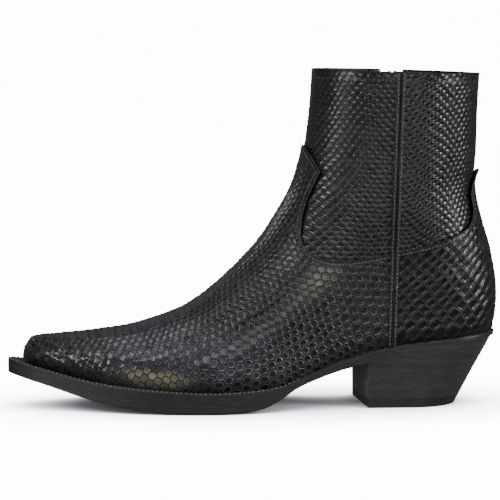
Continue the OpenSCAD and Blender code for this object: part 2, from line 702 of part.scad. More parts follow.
// Slider: two plates joined by a wedge, with rails that leave room for the tapes, and a bridge on top
plate_t = 0.9;
channel = 0.2;              // play round the chain
tape_play = 0.3;
rail_w = slider_w / 2 - chain_half - channel;
slider_top = -0.9;
slider_low = slider_top - slider_len;
plate_y = tooth_t / 2 + channel;
plate_top = plate_y + plate_t;
rail_y = zip_tape_t / 2 + tape_play;
wedge_h = 4.6;
bridge_t = 1;
window_h = 2;               // room under the bridge
window_z = slider_low + 2.2;
window_len = slider_len - 4.4;
pull_t = 1;
pull_rim = 1;               // the bar at the head of the tab, which turns under the bridge
pivot_y = plate_top + window_h / 2;
pivot_z = slider_low + slider_len / 2;
slot_len = slider_len / 2 + 2;
module slider_plate() {
    translate([-slider_w / 2, plate_y, slider_low]) cube([slider_w, plate_t, slider_len]);
    for (s = [-1, 1])
        translate([s * (slider_w - rail_w) / 2 - rail_w / 2, rail_y, slider_low])
            cube([rail_w, plate_y + plate_t / 2 - rail_y, slider_len - wedge_h]);
}
module zip_slider() {
    wedge_top = slider_top - 0.6;
    color(steel_grey) on_zip() {
        slider_plate();
        mirror([0, 1, 0]) slider_plate();
        rotate([90, 0, 0]) translate([0, 0, -plate_y - plate_t / 2]) linear_extrude(2 * plate_y + plate_t)
            polygon([[-0.8, wedge_top], [0.8, wedge_top], [0.8, wedge_top - wedge_h / 2],
                     [0, wedge_top - wedge_h], [-0.8, wedge_top - wedge_h / 2]]);
        translate([-bridge_t / 2, plate_y + plate_t / 2, slider_low + 0.8]) difference() {
            cube([bridge_t, plate_t / 2 + window_h + bridge_t, slider_len - 1.6]);
            translate([-bridge_t, plate_t / 2, window_z - slider_low - 0.8])
                cube([3 * bridge_t, window_h, window_len]);
        }
    }
}
pull_w = 5;
eye_w = 2.6;
// Pull tab: it hangs straight down from the slider's bridge
module zip_pull() {
    color(steel_grey) on_zip()
        translate([0, pivot_y, pivot_z]) rotate([90 + zip_tilt, 0, 0])
            translate([0, 0, -pull_t / 2]) linear_extrude(pull_t) difference() {
                union() {
                    translate([-pull_w / 2, pull_w / 2 - pull_len])
                        square([pull_w, pull_len - (pull_w - pull_rim) / 2]);
                    translate([0, pull_w / 2 - pull_len]) circle(d = pull_w, $fn = 32);
                }
                translate([-eye_w / 2, -pull_rim / 2 - slot_len]) square([eye_w, slot_len]);
                translate([0, pull_w / 2 - pull_len]) circle(r = 1.1, $fn = 32);
            }
}

vamp();
heel_counter();
shaft_front();
shaft_back();
side_strip();
zip_end_strip();
toe_puff();
vamp_backing();
heel_stiffener();
vamp_lining();
shaft_lining();
heel_grip();
insole_board();
footbed();
cork_filler();
shank();
welt();
heel_rand();
midsole();
outsole();
heel_wedge();
for (i = [1:lift_count])
    heel_lift(i);
top_lift();
heel_nails();
top_lift_nails();
zip_tape_front();
zip_tape_back();
zip_teeth_front();
zip_teeth_back();
zip_top_stops();
zip_bottom_stop();
zip_guard();
zip_slider();
zip_pull();
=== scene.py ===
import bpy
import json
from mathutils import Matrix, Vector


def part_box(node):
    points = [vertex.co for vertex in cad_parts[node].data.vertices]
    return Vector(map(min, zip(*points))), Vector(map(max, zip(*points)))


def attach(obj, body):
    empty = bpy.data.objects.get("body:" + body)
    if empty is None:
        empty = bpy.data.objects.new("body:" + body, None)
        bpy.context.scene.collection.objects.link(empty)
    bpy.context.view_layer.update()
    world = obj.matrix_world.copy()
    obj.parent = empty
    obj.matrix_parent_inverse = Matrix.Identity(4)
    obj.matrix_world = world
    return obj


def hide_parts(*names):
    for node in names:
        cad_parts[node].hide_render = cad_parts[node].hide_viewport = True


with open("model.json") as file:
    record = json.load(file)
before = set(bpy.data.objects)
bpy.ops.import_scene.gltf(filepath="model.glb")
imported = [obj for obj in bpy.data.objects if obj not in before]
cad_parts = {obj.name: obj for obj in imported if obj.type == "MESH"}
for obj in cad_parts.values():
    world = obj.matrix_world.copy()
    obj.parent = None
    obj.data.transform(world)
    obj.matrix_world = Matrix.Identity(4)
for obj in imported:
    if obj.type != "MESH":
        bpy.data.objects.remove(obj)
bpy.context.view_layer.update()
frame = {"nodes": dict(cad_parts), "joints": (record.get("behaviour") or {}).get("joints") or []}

import json
import logging
import math
from dataclasses import dataclass
from enum import Enum
from typing import Callable, Iterable, Optional, Sequence

import bmesh
import bpy
import numpy as np
from mathutils import Vector

log = logging.getLogger("boot")

MM = 0.001
OUTER = -1.0
INNER = 1.0
SEAM_SHARE = 0.49  # where the side seam meets the rim, as a share of the opening
Array = np.ndarray
Socket = bpy.types.NodeSocket
Node = bpy.types.Node
Material = bpy.types.Material
Piece = bpy.types.Object


# ---------------------------------------------------------------- small maths
def mix(a: Array | float, b: Array | float, t: Array | float) -> Array | float:
    """Value a share t of the way from a to b."""
    return a + (b - a) * t


def ease(t: Array | float) -> Array | float:
    """Smooth step from 0 to 1."""
    c = np.clip(t, 0.0, 1.0)
    return c * c * (3 - 2 * c)


def bump_at(x: Array, middle: float, reach: float) -> Array:
    """1 at the middle, falling smoothly to 0 at the reach."""
    return ease(1 - np.abs(x - middle) / reach)


def curve(rows: Sequence[Sequence[float]], keys: Array | float) -> Array:
    """Smooth curve through [key, value] rows, straight beyond its ends.

    Args:
        rows: the key and value of each point, by rising key.
        keys: where the curve is read.

    Returns:
        The value at each key.
    """
    table = np.asarray(rows, float)
    xs, ys = table[:, 0], table[:, 1]
    n = len(xs)
    before, after = np.maximum(np.arange(n) - 1, 0), np.minimum(np.arange(n) + 1, n - 1)
    slopes = (ys[after] - ys[before]) / (xs[after] - xs[before])
    k = np.asarray(keys, float)
    i = np.clip(np.searchsorted(xs, k, side="right") - 1, 0, n - 2)
    h = xs[i + 1] - xs[i]
    t = (k - xs[i]) / h
    inside = (
        (2 * t**3 - 3 * t**2 + 1) * ys[i] + (t**3 - 2 * t**2 + t) * h * slopes[i]
        + (3 * t**2 - 2 * t**3) * ys[i + 1] + (t**3 - t**2) * h * slopes[i + 1]
    )
    low = ys[i] + slopes[i] * h * t
    high = ys[i + 1] + slopes[i + 1] * h * (t - 1)
    return np.where(t < 0, low, np.where(t > 1, high, inside))


def curve_slope(rows: Sequence[Sequence[float]], keys: Array) -> Array:
    """Slope of the smooth curve."""
    return curve(rows, keys + 0.5) - curve(rows, keys - 0.5)


def smooth_path(points: Array, steps: int) -> Array:
    """Smooth path through 2-D points, with some steps to each span.

    Args:
        points: the points it passes through.
        steps: steps to each span.

    Returns:
        The points of the smooth path.
    """
    n = len(points)
    out = []
    for i in range(n - 1):
        a, b, c, d = points[max(i - 1, 0)], points[i], points[i + 1], points[min(i + 2, n - 1)]
        for k in range(steps):
            t = k / steps
            out.append(0.5 * (2 * b + (c - a) * t + (2 * a - 5 * b + 4 * c - d) * t**2
                              + (3 * b - a - 3 * c + d) * t**3))
    out.append(points[-1])
    return np.array(out)


def path_distance(points: Array, path: Array) -> Array:
    """Distance of each 2-D point to a path.

    Args:
        points: the points measured.
        path: the corners of the path.

    Returns:
        The distance of each point.
    """
    best = np.full(len(points), 1e9)
    for a, b in zip(path[:-1], path[1:]):
        ab = b - a
        t = np.clip(((points - a) @ ab) / max(ab @ ab, 1e-12), 0, 1)
        best = np.minimum(best, np.linalg.norm(points - (a + t[:, None] * ab), axis=1))
    return best


def inside_polygon(points: Array, polygon: Array) -> Array:
    """True for each 2-D point that lies in the polygon.

    Args:
        points: the points tested.
        polygon: the corners of the polygon.

    Returns:
        An array of true and false.
    """
    x, y = points[:, 0], points[:, 1]
    inside = np.zeros(len(points), bool)
    for a, b in zip(polygon, np.roll(polygon, -1, axis=0)):
        if a[1] == b[1]:
            continue
        crosses = (a[1] > y) != (b[1] > y)
        inside ^= crosses & (x < (b[0] - a[0]) * (y - a[1]) / (b[1] - a[1]) + a[0])
    return inside


def resample(path: Array, pitch: float) -> Array:
    """Points at an even pitch along a path of any dimension.

    Args:
        path: the path's points.
        pitch: the pitch aimed at.

    Returns:
        The new points, both ends kept.
    """
    gaps = np.linalg.norm(np.diff(path, axis=0), axis=1)
    along = np.concatenate([[0], np.cumsum(gaps)])
    count = max(int(round(along[-1] / pitch)), 2)
    at = np.linspace(0, along[-1], count + 1)
    return np.stack([np.interp(at, along, path[:, k]) for k in range(path.shape[1])], axis=1)


# ---------------------------------------------------------------- the boot's form
@dataclass
class BootForm:
    """The boot's outer surface, its seams and the lines of its sole, in millimetres."""

    length: float
    rim_height: float
    rim_drop: float
    toe_edge: float
    seat_height: float
    ball_width: float = 92.0
    heel_width: float = 65.0
    shaft_depth: float = 110.0
    shaft_width: float = 81.0
    toe_box: float = 16.0
    toe_spring: float = 22.0
    tip_sole: float = 8.6
    ball_sole: float = 12.7
    waist_sole: float = 4.8
    seat_sole: float = 7.0
    ball_edge: float = 4.6
    heel_edge: float = 1.0
    leather: float = 1.4
    layer_gap: float = 0.3
    lining: float = 1.0
    welt: float = 2.4
    outsole: float = 4.4
    heel_run: float = 87.0
    heel_slant: float = 25.0
    heel_taper: float = 3.6
    breast_turn: float = 4.3
    nose: float = 10.0
    tuck: float = 2.2
    tuck_height: float = 9.0

    @classmethod
    def from_frame(cls) -> "BootForm":
        """Reads the driving sizes from the frame's boxes."""
        sole_low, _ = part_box("outsole")
        vamp_low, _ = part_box("vamp")
        _, front_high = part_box("shaft_front")
        _, back_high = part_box("shaft_back")
        _, rand_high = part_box("heel_rand")
        length = (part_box("heel_counter")[1].x - sole_low.x) / MM
        return cls(
            length=length,
            rim_height=front_high.z / MM,
            rim_drop=(front_high.z - back_high.z) / MM / SEAM_SHARE,
            toe_edge=(vamp_low.x - sole_low.x) / MM,
            seat_height=rand_high.z / MM,
        )

    def __post_init__(self) -> None:
        """Works out the curves from the sizes."""
        self.tip_x = -self.length / 2
        self.toe_x = self.tip_x + self.toe_edge
        self.heel_x = self.length / 2
        self.ball_x = self.length * -0.096
        self.rim_back_x = self.heel_x - 10.4
        self.rim_front_x = self.rim_back_x - self.shaft_depth
        self.rim_back_z = self.rim_height - self.rim_drop
        fore_rise = self.toe_spring + self.tip_sole - self.ball_sole
        aft_rise = self.seat_height - self.ball_sole
        fore = [(1.15, 1.18), (1, 1), (0.83, 0.72), (0.62, 0.38), (0.38, 0.16)]
        aft = [(0, 0), (0.18, 0.04), (0.25, 0.11), (0.32, 0.26), (0.43, 0.5), (0.5, 0.62),
               (0.62, 0.775), (0.84, 0.92), (1, 1), (1.1, 1.04)]
        self.seat_rows = [(mix(self.ball_x, self.tip_x, a), self.ball_sole + fore_rise * b) for a, b in fore]
        self.seat_rows += [(self.aft(a), self.ball_sole + aft_rise * b) for a, b in aft]
        self.sole_rows = [
            (self.tip_x, self.tip_sole), (mix(self.ball_x, self.tip_x, 0.75), self.tip_sole + 0.9),
            (mix(self.ball_x, self.tip_x, 0.38), self.ball_sole - 0.2), (self.ball_x, self.ball_sole),
            (self.aft(0.17), self.ball_sole - 1.4), (self.aft(0.235), mix(self.waist_sole, self.ball_sole, 0.4)),
            (self.aft(0.285), self.waist_sole + 0.3), (self.aft(0.34), self.waist_sole),
            (self.aft(0.5), mix(self.waist_sole, self.seat_sole, 0.7)), (self.aft(0.6), self.seat_sole),
            (self.heel_x, self.seat_sole)]
        toe_z, heel_z = float(self.seat(self.toe_x)), float(self.seat(self.heel_x))
        top_z = toe_z + self.toe_box
        shape = [(0.034, 0.004), (0.129, 0.027), (0.234, 0.045), (0.368, 0.067), (0.456, 0.092), (0.551, 0.128),
                 (0.622, 0.174), (0.692, 0.234), (0.762, 0.303), (0.833, 0.387), (0.903, 0.501), (0.938, 0.573),
                 (0.968, 0.68), (0.982, 0.77), (0.993, 0.886), (1, 1), (1.02, 1.3)]
        ridge = [(self.toe_x, toe_z - 12), (self.toe_x, toe_z), (self.toe_x + 0.4, mix(toe_z, top_z, 0.45)),
                 (self.toe_x + 2.8, mix(toe_z, top_z, 0.78))]
        ridge += [(mix(self.toe_x, self.rim_front_x, a), mix(top_z, self.rim_height, b)) for a, b in shape]
        self.ridge_rows = [(x + z, z - x) for x, z in ridge]
        self.ridge_low, self.ridge_high = self.toe_x + toe_z, self.rim_front_x + self.rim_height
        back = [(-0.06, 4.6), (0, 2.8), (0.03, 1.8), (0.11, 0.2), (0.188, 0.4), (0.267, 2.4), (0.344, 5.2),
                (0.423, 9.2), (0.503, 12.6), (0.57, 14), (0.642, 13), (0.7, 12.2), (0.859, 11.6), (1, 10.4),
                (1.25, 8)]
        self.back_rows = [(mix(heel_z, self.rim_back_z, a), self.heel_x - b) for a, b in back]
        self._width_tables()
        self.seam_top = mix(self.rim_front_x, self.rim_back_x, SEAM_SHARE)
        self.zip_x = self.seam_top + 3.4
        self.shaft_level = self.leather + self.layer_gap
        self.lining_level = self.shaft_level + self.leather + self.layer_gap
        tip = self.on_shaft(-0.16, 0.87)
        line = [self.on_shaft(a, b) for a, b in (
            (0.048, 0.617), (-0.035, 0.49), (-0.066, 0.38), (-0.025, 0.32), (0.09, 0.288), (0.23, 0.288),
            (0.44, 0.312), (0.7, 0.35), (0.87, 0.395), (0.925, 0.45), (0.915, 0.535), (0.96, 0.605), (1.09, 0.7))]
        self.top_line = np.concatenate([[tip], smooth_path(np.array(line), 10)])
        self.breast_x = self.heel_x - self.heel_run
        self.seat_back_x = float(curve(self.back_rows, heel_z)) + self.heel_edge
        self.seat_half = self.heel_width / 2 - self.tuck + self.heel_edge
        self.edge_rows = [
            (self.tip_x, self.toe_edge), (self.fore(0.8), mix(self.toe_edge, self.ball_edge, 0.8)),
            (self.fore(0.3), self.ball_edge), (self.aft(0.1), self.ball_edge), (self.aft(0.32), self.heel_edge + 0.8),
            (self.aft(0.5), self.heel_edge), (self.heel_x, self.heel_edge)]

    def _width_tables(self) -> None:
        """Half widths along the sole, and how deep the front and back are rounded."""
        nose, ball, heel = self.nose, self.ball_width / 2, self.heel_width / 2
        self.plans = {
            OUTER: [(self.fore(1.1), nose - 2), (self.fore(1), nose), (self.fore(0.78), mix(nose, ball, 0.36)),
                    (self.fore(0.55), mix(nose, ball, 0.68)), (self.fore(0.32), mix(nose, ball, 0.9)),
                    (self.fore(0.1), ball), (self.aft(0.06), ball), (self.aft(0.22), mix(heel, ball, 0.72)),
                    (self.aft(0.38), mix(heel, ball, 0.25)), (self.aft(0.55), heel), (self.aft(1), heel)],
            INNER: [(self.fore(1.1), nose - 2), (self.fore(1), nose), (self.fore(0.78), mix(nose, ball, 0.37)),
                    (self.fore(0.55), mix(nose, ball, 0.7)), (self.fore(0.32), mix(nose, ball, 0.92)),
                    (self.fore(0.12), ball - 0.6), (self.aft(0.04), ball - 3.4),
                    (self.aft(0.18), mix(heel, ball, 0.2)), (self.aft(0.34), heel - 1.8), (self.aft(0.55), heel),
                    (self.aft(1), heel)]}

        def turned(t: float) -> float:
            """Value a share of the way along the ridge."""
            return mix(self.ridge_low, self.ridge_high, t)

        self.front_round = [
            (turned(0), nose - 1), (turned(0.07), self.toe_box * 0.85), (turned(0.15), self.toe_box + 6),
            (turned(0.28), 34), (turned(0.43), 46), (turned(0.56), self.shaft_depth * 0.47),
            (turned(1), self.shaft_depth / 2), (turned(1.5), self.shaft_depth / 2)]
        self.back_round = [
            (self.seat_height - 10, heel + 3), (mix(self.seat_height, self.rim_back_z, 0.2), heel + 8),
            (mix(self.seat_height, self.rim_back_z, 0.5), self.shaft_depth * 0.46),
            (self.rim_back_z, self.shaft_depth / 2), (self.rim_back_z + 40, self.shaft_depth / 2)]

    def fore(self, t: float) -> float:
        """X a share of the way from the ball to the toe."""
        return mix(self.ball_x, self.toe_x, t)

    def aft(self, t: float) -> float:
        """X a share of the way from the ball to the heel."""
        return mix(self.ball_x, self.heel_x, t)

    def on_shaft(self, a: float, b: float) -> tuple[float, float]:
        """Side-view point at shares of the shaft's depth and height."""
        return mix(self.rim_front_x, self.rim_back_x, a), mix(self.seat_height, self.rim_height, b)

    def seat(self, x: Array | float) -> Array:
        """Height of the line where the upper meets the sole."""
        return curve(self.seat_rows, x)

    def sole_depth(self, x: Array | float) -> Array:
        """Whole thickness of the sole."""
        return curve(self.sole_rows, x)

    def seam_x(self, z: Array | float) -> Array:
        """X of the outer side seam at a height."""
        return mix(self.seam_top - 4, self.seam_top, (z - self.seat_height) / (self.rim_height - self.seat_height))

    def half_width(self, x: Array, z: Array, side: Array, depth: float) -> Array:
        """Half width at points of the side view, at a depth below the outer surface.

        Args:
            x: x of each point.
            z: z of each point.
            side: outer or inner side of each point.
            depth: depth below the outer surface.

        Returns:
            The half width at each point.
        """
        m = ease((z - self.seat_height - 13) / 70)
        shaft = mix(self.heel_width / 2, self.shaft_width / 2,
                    (z - self.seat_height) / (self.rim_height - self.seat_height))
        plan = np.where(side < 0, curve(self.plans[OUTER], x), curve(self.plans[INNER], x))
        w = mix(plan, shaft, m) - self.tuck * np.maximum(0, 1 - (z - self.seat(x)) / self.tuck_height) ** 2
        slope = curve_slope(self.ridge_rows, x + z)
        front = (curve(self.ridge_rows, x + z) - (z - x)) / np.sqrt(2 * (1 + slope**2))
        back = curve(self.back_rows, z) - x
        f = (front - depth) / (curve(self.front_round, x + z) - depth)
        b = (back - depth) / (curve(self.back_round, z) - depth)
        return (w - depth) * self._rounding(f) * self._rounding(b)

    @staticmethod
    def _rounding(q: Array) -> Array:
        """Quarter-ellipse closure from 0 to 1."""
        c = np.clip(q, 0, 1)
        return np.sqrt(1 - (1 - c) ** 2)

    def point(self, s: Array, turn: Array, depth: float) -> Array:
        """Points of the wall.

        Args:
            s: share of the way from the sole's line to the rim.
            turn: angle round the boot, 0 at the front, positive towards the outer side.
            depth: how far below the outer surface.

        Returns:
            An array of points, with the last axis holding x, y and z.
        """
        f = (1 - np.cos(turn)) / 2
        side = np.where(np.sin(turn) >= 0, OUTER, INNER)
        a = mix(self.ridge_low, self.ridge_high, np.maximum(s, 0) ** 1.35)
        b, g = curve(self.ridge_rows, a), curve_slope(self.ridge_rows, a)
        n = np.sqrt(2 * (1 + g * g))
        px, pz = (a - b) / 2 + depth * (1 + g) / n, (a + b) / 2 - depth * (1 - g) / n * (s < 1)
        heel_z = self.seat(self.heel_x)
        qz = mix(heel_z, self.rim_back_z, s)
        qx = curve(self.back_rows, qz) - depth
        x, z = mix(px, qx, f), mix(pz, qz, f)
        z = z + np.maximum(1 - s, 0) ** 1.2 * (self.seat(x) - mix(self.seat(self.toe_x), heel_z, f))
        y = side * self.half_width(x, z, side, depth) * np.where((f < 1e-9) | (f > 1 - 1e-9), 0, 1)
        return np.stack([x, y, z], axis=-1)

    def side_point(self, x: Array, z: Array, side: float, depth: float) -> Array:
        """Points of the wall that lie over points of the side view."""
        half = self.half_width(x, z, np.full_like(x, side), depth)
        return np.stack([x, side * half, z], axis=-1)

    def side_normal(self, x: Array, z: Array, side: float, depth: float) -> Array:
        """Outward normals over points of the side view.

        Args:
            x: x of each point.
            z: z of each point.
            side: outer or inner side.
            depth: depth below the outer surface.

        Returns:
            A unit normal for each point.
        """
        d = 0.4
        dx = self.side_point(x + d, z, side, depth) - self.side_point(x - d, z, side, depth)
        dz = self.side_point(x, z + d, side, depth) - self.side_point(x, z - d, side, depth)
        n = np.cross(dx, dz) * side
        n *= np.where(n[:, 1:2] * side < 0, -1, 1)
        return n / np.maximum(np.linalg.norm(n, axis=1, keepdims=True), 1e-9)

    def wall_normal(self, s: Array, turn: Array, depth: float) -> Array:
        """Outward normals of the upper's wall.

        Args:
            s: height up the wall of each point, from 0 to 1.
            turn: angle round the boot of each point.
            depth: depth below the outer surface.

        Returns:
            A unit normal for each point.
        """
        ds = self.point(np.minimum(s + 0.003, 1), turn, depth) - self.point(np.maximum(s - 0.003, 0), turn, depth)
        dt = self.point(s, turn + 0.004, depth) - self.point(s, turn - 0.004, depth)
        n = np.cross(ds, dt)
        n /= np.maximum(np.linalg.norm(n, axis=1, keepdims=True), 1e-9)
        return n

    def outline(self, extra: float, steps: int, depth: Optional[float] = None) -> Array:
        """Plan outline of the sole, or of the space inside the upper at a depth.

        Args:
            extra: how far the outline is drawn in.
            steps: points on each side.
            depth: depth inside the upper, or None for the sole's own edge.

        Returns:
            The closed loop's (x, y) points from the toe along the outer side and back.
        """
        x0 = self.toe_x + (-self.toe_edge if depth is None else depth) + extra
        x1 = self.seat_back_x - extra if depth is None else self.seat_back_x - self.heel_edge - depth - extra
        k = np.arange(2 * steps)
        j = np.where(k <= steps, k, 2 * steps - k)
        side = np.where(k <= steps, OUTER, INNER)
        x = mix(x0, x1, (1 - np.cos(np.pi * j / steps)) / 2)
        z = np.maximum(self.seat(x), np.where(x < self.toe_x, self.seat(self.toe_x), 0)) + 0.5
        if depth is None:
            half = np.empty_like(x)
            for i in range(len(x)):
                half[i] = self.half_width(x[i], z[i], side[i], -float(curve(self.edge_rows, x[i])))
        else:
            half = self.half_width(x, z, side, depth)
        y = side * np.where((j == 0) | (j == steps), 0, np.maximum(half - extra, 0.05))
        return np.stack([x, y], axis=-1)

    def heel_outline(self, z: float, steps: int, extra: float = 0.0) -> Array:
        """Plan outline of the heel at a height, as a closed loop from the outer front corner.

        Args:
            z: height above the ground.
            steps: points on each side.
            extra: how far the outline is drawn in.

        Returns:
            The (x, y) points of the loop.
        """
        t = z / self.seat_height
        back = self.seat_back_x - self.heel_slant * (1 - t) - extra
        half = self.seat_half - self.heel_taper * (1 - t) - extra
        lean = math.tan(math.radians(self.breast_turn)) * half
        reach = half + 2
        k = np.arange(steps + 1)
        sweep = np.sin(np.pi / 2 * k / steps)
        xo = mix(self.breast_x + lean + extra, back, sweep)
        xi = mix(self.breast_x - lean + extra, back, sweep)
        yo = -half * self._rounding((back - xo) / reach)
        yi = half * self._rounding((back - xi) / reach)
        yo[-1] = 0
        return np.concatenate([np.stack([xo, yo], -1), np.stack([xi, yi], -1)[-2::-1]])


def waves(x: Array, y: Array, seed: int) -> Array:
    """Gentle unevenness between about -1 and 1, for rows that nature laid.

    Args:
        x: first coordinate.
        y: second coordinate.
        seed: fixes the pattern.

    Returns:
        The unevenness at each place.
    """
    rng = np.random.default_rng(seed)
    total = np.zeros_like(x)
    for size, weight in ((7.0, 0.5), (3.1, 0.35), (1.6, 0.25)):
        for _ in range(3):
            angle, phase = rng.uniform(0, 2 * np.pi, 2)
            total += weight / 1.6 * np.sin((x * np.cos(angle) + y * np.sin(angle)) * 2 * np.pi / size + phase)
    return total


# ---------------------------------------------------------------- node trees
class Tree:
    """What both kinds of node tree have in common: nodes, links and sums."""

    tree: bpy.types.NodeTree

    def link(self, a: Socket, b: Socket) -> None:
        """Joins two sockets."""
        self.tree.links.new(a, b)

    def node(self, kind: str, inputs: Optional[dict] = None, **settings: object) -> Node:
        """Adds a node, with its settings and its inputs given as values or sockets.

        Args:
            kind: the node's type.
            inputs: values or sockets by input.
            settings: the node's own settings.

        Returns:
            The new node.
        """
        n = self.tree.nodes.new(kind)
        for key, value in settings.items():
            setattr(n, key, value)
        for key, value in (inputs or {}).items():
            if isinstance(value, Socket):
                self.link(value, n.inputs[key])
            else:
                n.inputs[key].default_value = value
        return n

    def math(self, op: str, a: object, b: object = 0.0, clamp: bool = False) -> Socket:
        """Result of one Math node."""
        return self.node("ShaderNodeMath", {0: a, 1: b}, operation=op, use_clamp=clamp).outputs[0]

    def split(self, vector: Socket) -> Sequence[Socket]:
        """The three values of a vector."""
        return self.node("ShaderNodeSeparateXYZ", {0: vector}).outputs

    def times(self, a: object, b: object) -> Socket:
        """Product of two values."""
        return self.math("MULTIPLY", a, b)

    def plus(self, a: object, b: object) -> Socket:
        """Sum of two values."""
        return self.math("ADD", a, b)

    def minus(self, a: object, b: object) -> Socket:
        """First value less the second."""
        return self.math("SUBTRACT", a, b)

    def over(self, a: object, b: object) -> Socket:
        """First value divided by the second."""
        return self.math("DIVIDE", a, b)


@dataclass
class Cells:
    """Sockets that tell where a point lies in a lattice of scales."""

    edge: Socket
    across: Socket
    down: Socket
    luck: Socket
    centre: Socket


def find_cells(tree: Tree, skin: Socket) -> Cells:
    """Adds nodes that find the scale a point lies in.

    The lattice has a scale at every whole and every half-way point, and the skin's third value says how
    much wider a step is down than across: 1 gives diamonds and 1.7 honeycomb.

    Args:
        tree: the material or geometry tree under construction.
        skin: lattice coordinates.

    Returns:
        The distance to the scale's edge (1 in the middle), the place in it, and its random value.
    """
    x, y, m = tree.split(skin)
    even = [tree.math("ROUND", v) for v in (x, y)]
    odd = [tree.plus(tree.math("FLOOR", v), 0.5) for v in (x, y)]

    def offset(centre: list) -> tuple:
        """Offset from a scale's centre, across and down, and its squared length.

        Args:
            centre: the scale's two whole or half-way values.

        Returns:
            The three sockets.
        """
        dx = tree.minus(x, centre[0])
        dy = tree.times(tree.minus(y, centre[1]), m)
        return dx, dy, tree.plus(tree.times(dx, dx), tree.times(dy, dy))

    a, b = offset(even), offset(odd)
    pick = tree.math("LESS_THAN", b[2], a[2])

    def chosen(u: object, v: object) -> Socket:
        """The value of the nearer of the two scales."""
        return tree.plus(u, tree.times(pick, tree.minus(v, u)))

    dx, dy = chosen(a[0], b[0]), chosen(a[1], b[1])
    gap = tree.math("ABSOLUTE", tree.minus(a[2], b[2]))
    stride = tree.math("SQRT", tree.plus(tree.times(m, m), 1.0))
    edge = tree.over(gap, stride)
    edge = tree.math("MINIMUM", edge, tree.minus(0.5, tree.math("ABSOLUTE", dx)))
    half = tree.times(m, 0.5)
    edge = tree.math("MINIMUM", edge, tree.minus(half, tree.math("ABSOLUTE", dy)))
    reach = tree.math("MINIMUM", tree.math("MINIMUM", tree.times(stride, 0.25), half), 0.5)
    centre = tree.node("ShaderNodeCombineXYZ", {0: chosen(even[0], odd[0]), 1: chosen(even[1], odd[1])}).outputs[0]
    luck = tree.node("ShaderNodeTexWhiteNoise", {"Vector": centre}, noise_dimensions="3D").outputs["Value"]
    return Cells(tree.over(edge, reach), dx, dy, luck, centre)


# ---------------------------------------------------------------- materials
class Shade(Tree):
    """A material under construction, with short helpers."""

    def __init__(self, name: str) -> None:
        """Starts a material with a Principled shader.

        Args:
            name: the material's name.
        """
        self.material = bpy.data.materials.new(name)
        self.material.use_nodes = True
        self.tree = self.material.node_tree
        self.tree.nodes.clear()
        out = self.tree.nodes.new("ShaderNodeOutputMaterial")
        self.shader = self.tree.nodes.new("ShaderNodeBsdfPrincipled")
        self.link(self.shader.outputs[0], out.inputs[0])

    def ramp(self, value: object, low: float, high: float, to_low: float = 0.0, to_high: float = 1.0,
             smooth: bool = True) -> Socket:
        """Value mapped from one range to another."""
        return self.node("ShaderNodeMapRange", {0: value, 1: low, 2: high, 3: to_low, 4: to_high},
                         interpolation_type="SMOOTHSTEP" if smooth else "LINEAR").outputs[0]

    def blend(self, share: object, a: object, b: object) -> Socket:
        """Mix of two colours.

        Args:
            share: share of the second colour.
            a: first colour.
            b: second colour.

        Returns:
            The mixed colour's socket.
        """
        n = self.tree.nodes.new("ShaderNodeMix")
        n.data_type = "RGBA"
        for index, value in ((0, share), (6, a), (7, b)):
            if isinstance(value, Socket):
                self.link(value, n.inputs[index])
            else:
                n.inputs[index].default_value = value
        return n.outputs[2]

    def place(self) -> Socket:
        """Where a point lies on the piece."""
        return self.node("ShaderNodeTexCoord").outputs["Object"]

    def noise(self, scale: float, detail: float = 3.0, vector: object = None,
              rough: float = 0.55) -> Socket:
        """Noise on object coordinates or on a given vector.

        Args:
            scale: how fine it is.
            detail: layers of finer noise.
            vector: where it is read, or None for object coordinates.
            rough: strength of the finer layers.

        Returns:
            The noise's value.
        """
        at = vector or self.place()
        return self.node("ShaderNodeTexNoise", {"Vector": at, "Scale": scale, "Detail": detail,
                                                "Roughness": rough}).outputs[0]

    def attribute(self, name: str) -> Node:
        """Attribute node for a piece's own attribute."""
        return self.node("ShaderNodeAttribute", attribute_name=name, attribute_type="GEOMETRY")

    def bump(self, height: object, distance: float, strength: float = 1.0,
             normal: object = None) -> Socket:
        """Bump from a height.

        Args:
            height: the height's socket.
            distance: how deep a full step is, in metres.
            strength: share of the effect.
            normal: a normal it is added to.

        Returns:
            The new normal.
        """
        inputs = {"Height": height, "Distance": distance, "Strength": strength}
        if normal is not None:
            inputs["Normal"] = normal
        return self.node("ShaderNodeBump", inputs).outputs[0]

    def finish(self, **inputs: object) -> Material:
        """Sets the shader's inputs and hands back the material."""
        for key, value in inputs.items():
            socket = self.shader.inputs[key.replace("_", " ")]
            if isinstance(value, Socket):
                self.link(value, socket)
            else:
                socket.default_value = value
        return self.material


def rgba(r: float, g: float, b: float) -> tuple[float, float, float, float]:
    """Opaque colour."""
    return (r, g, b, 1.0)


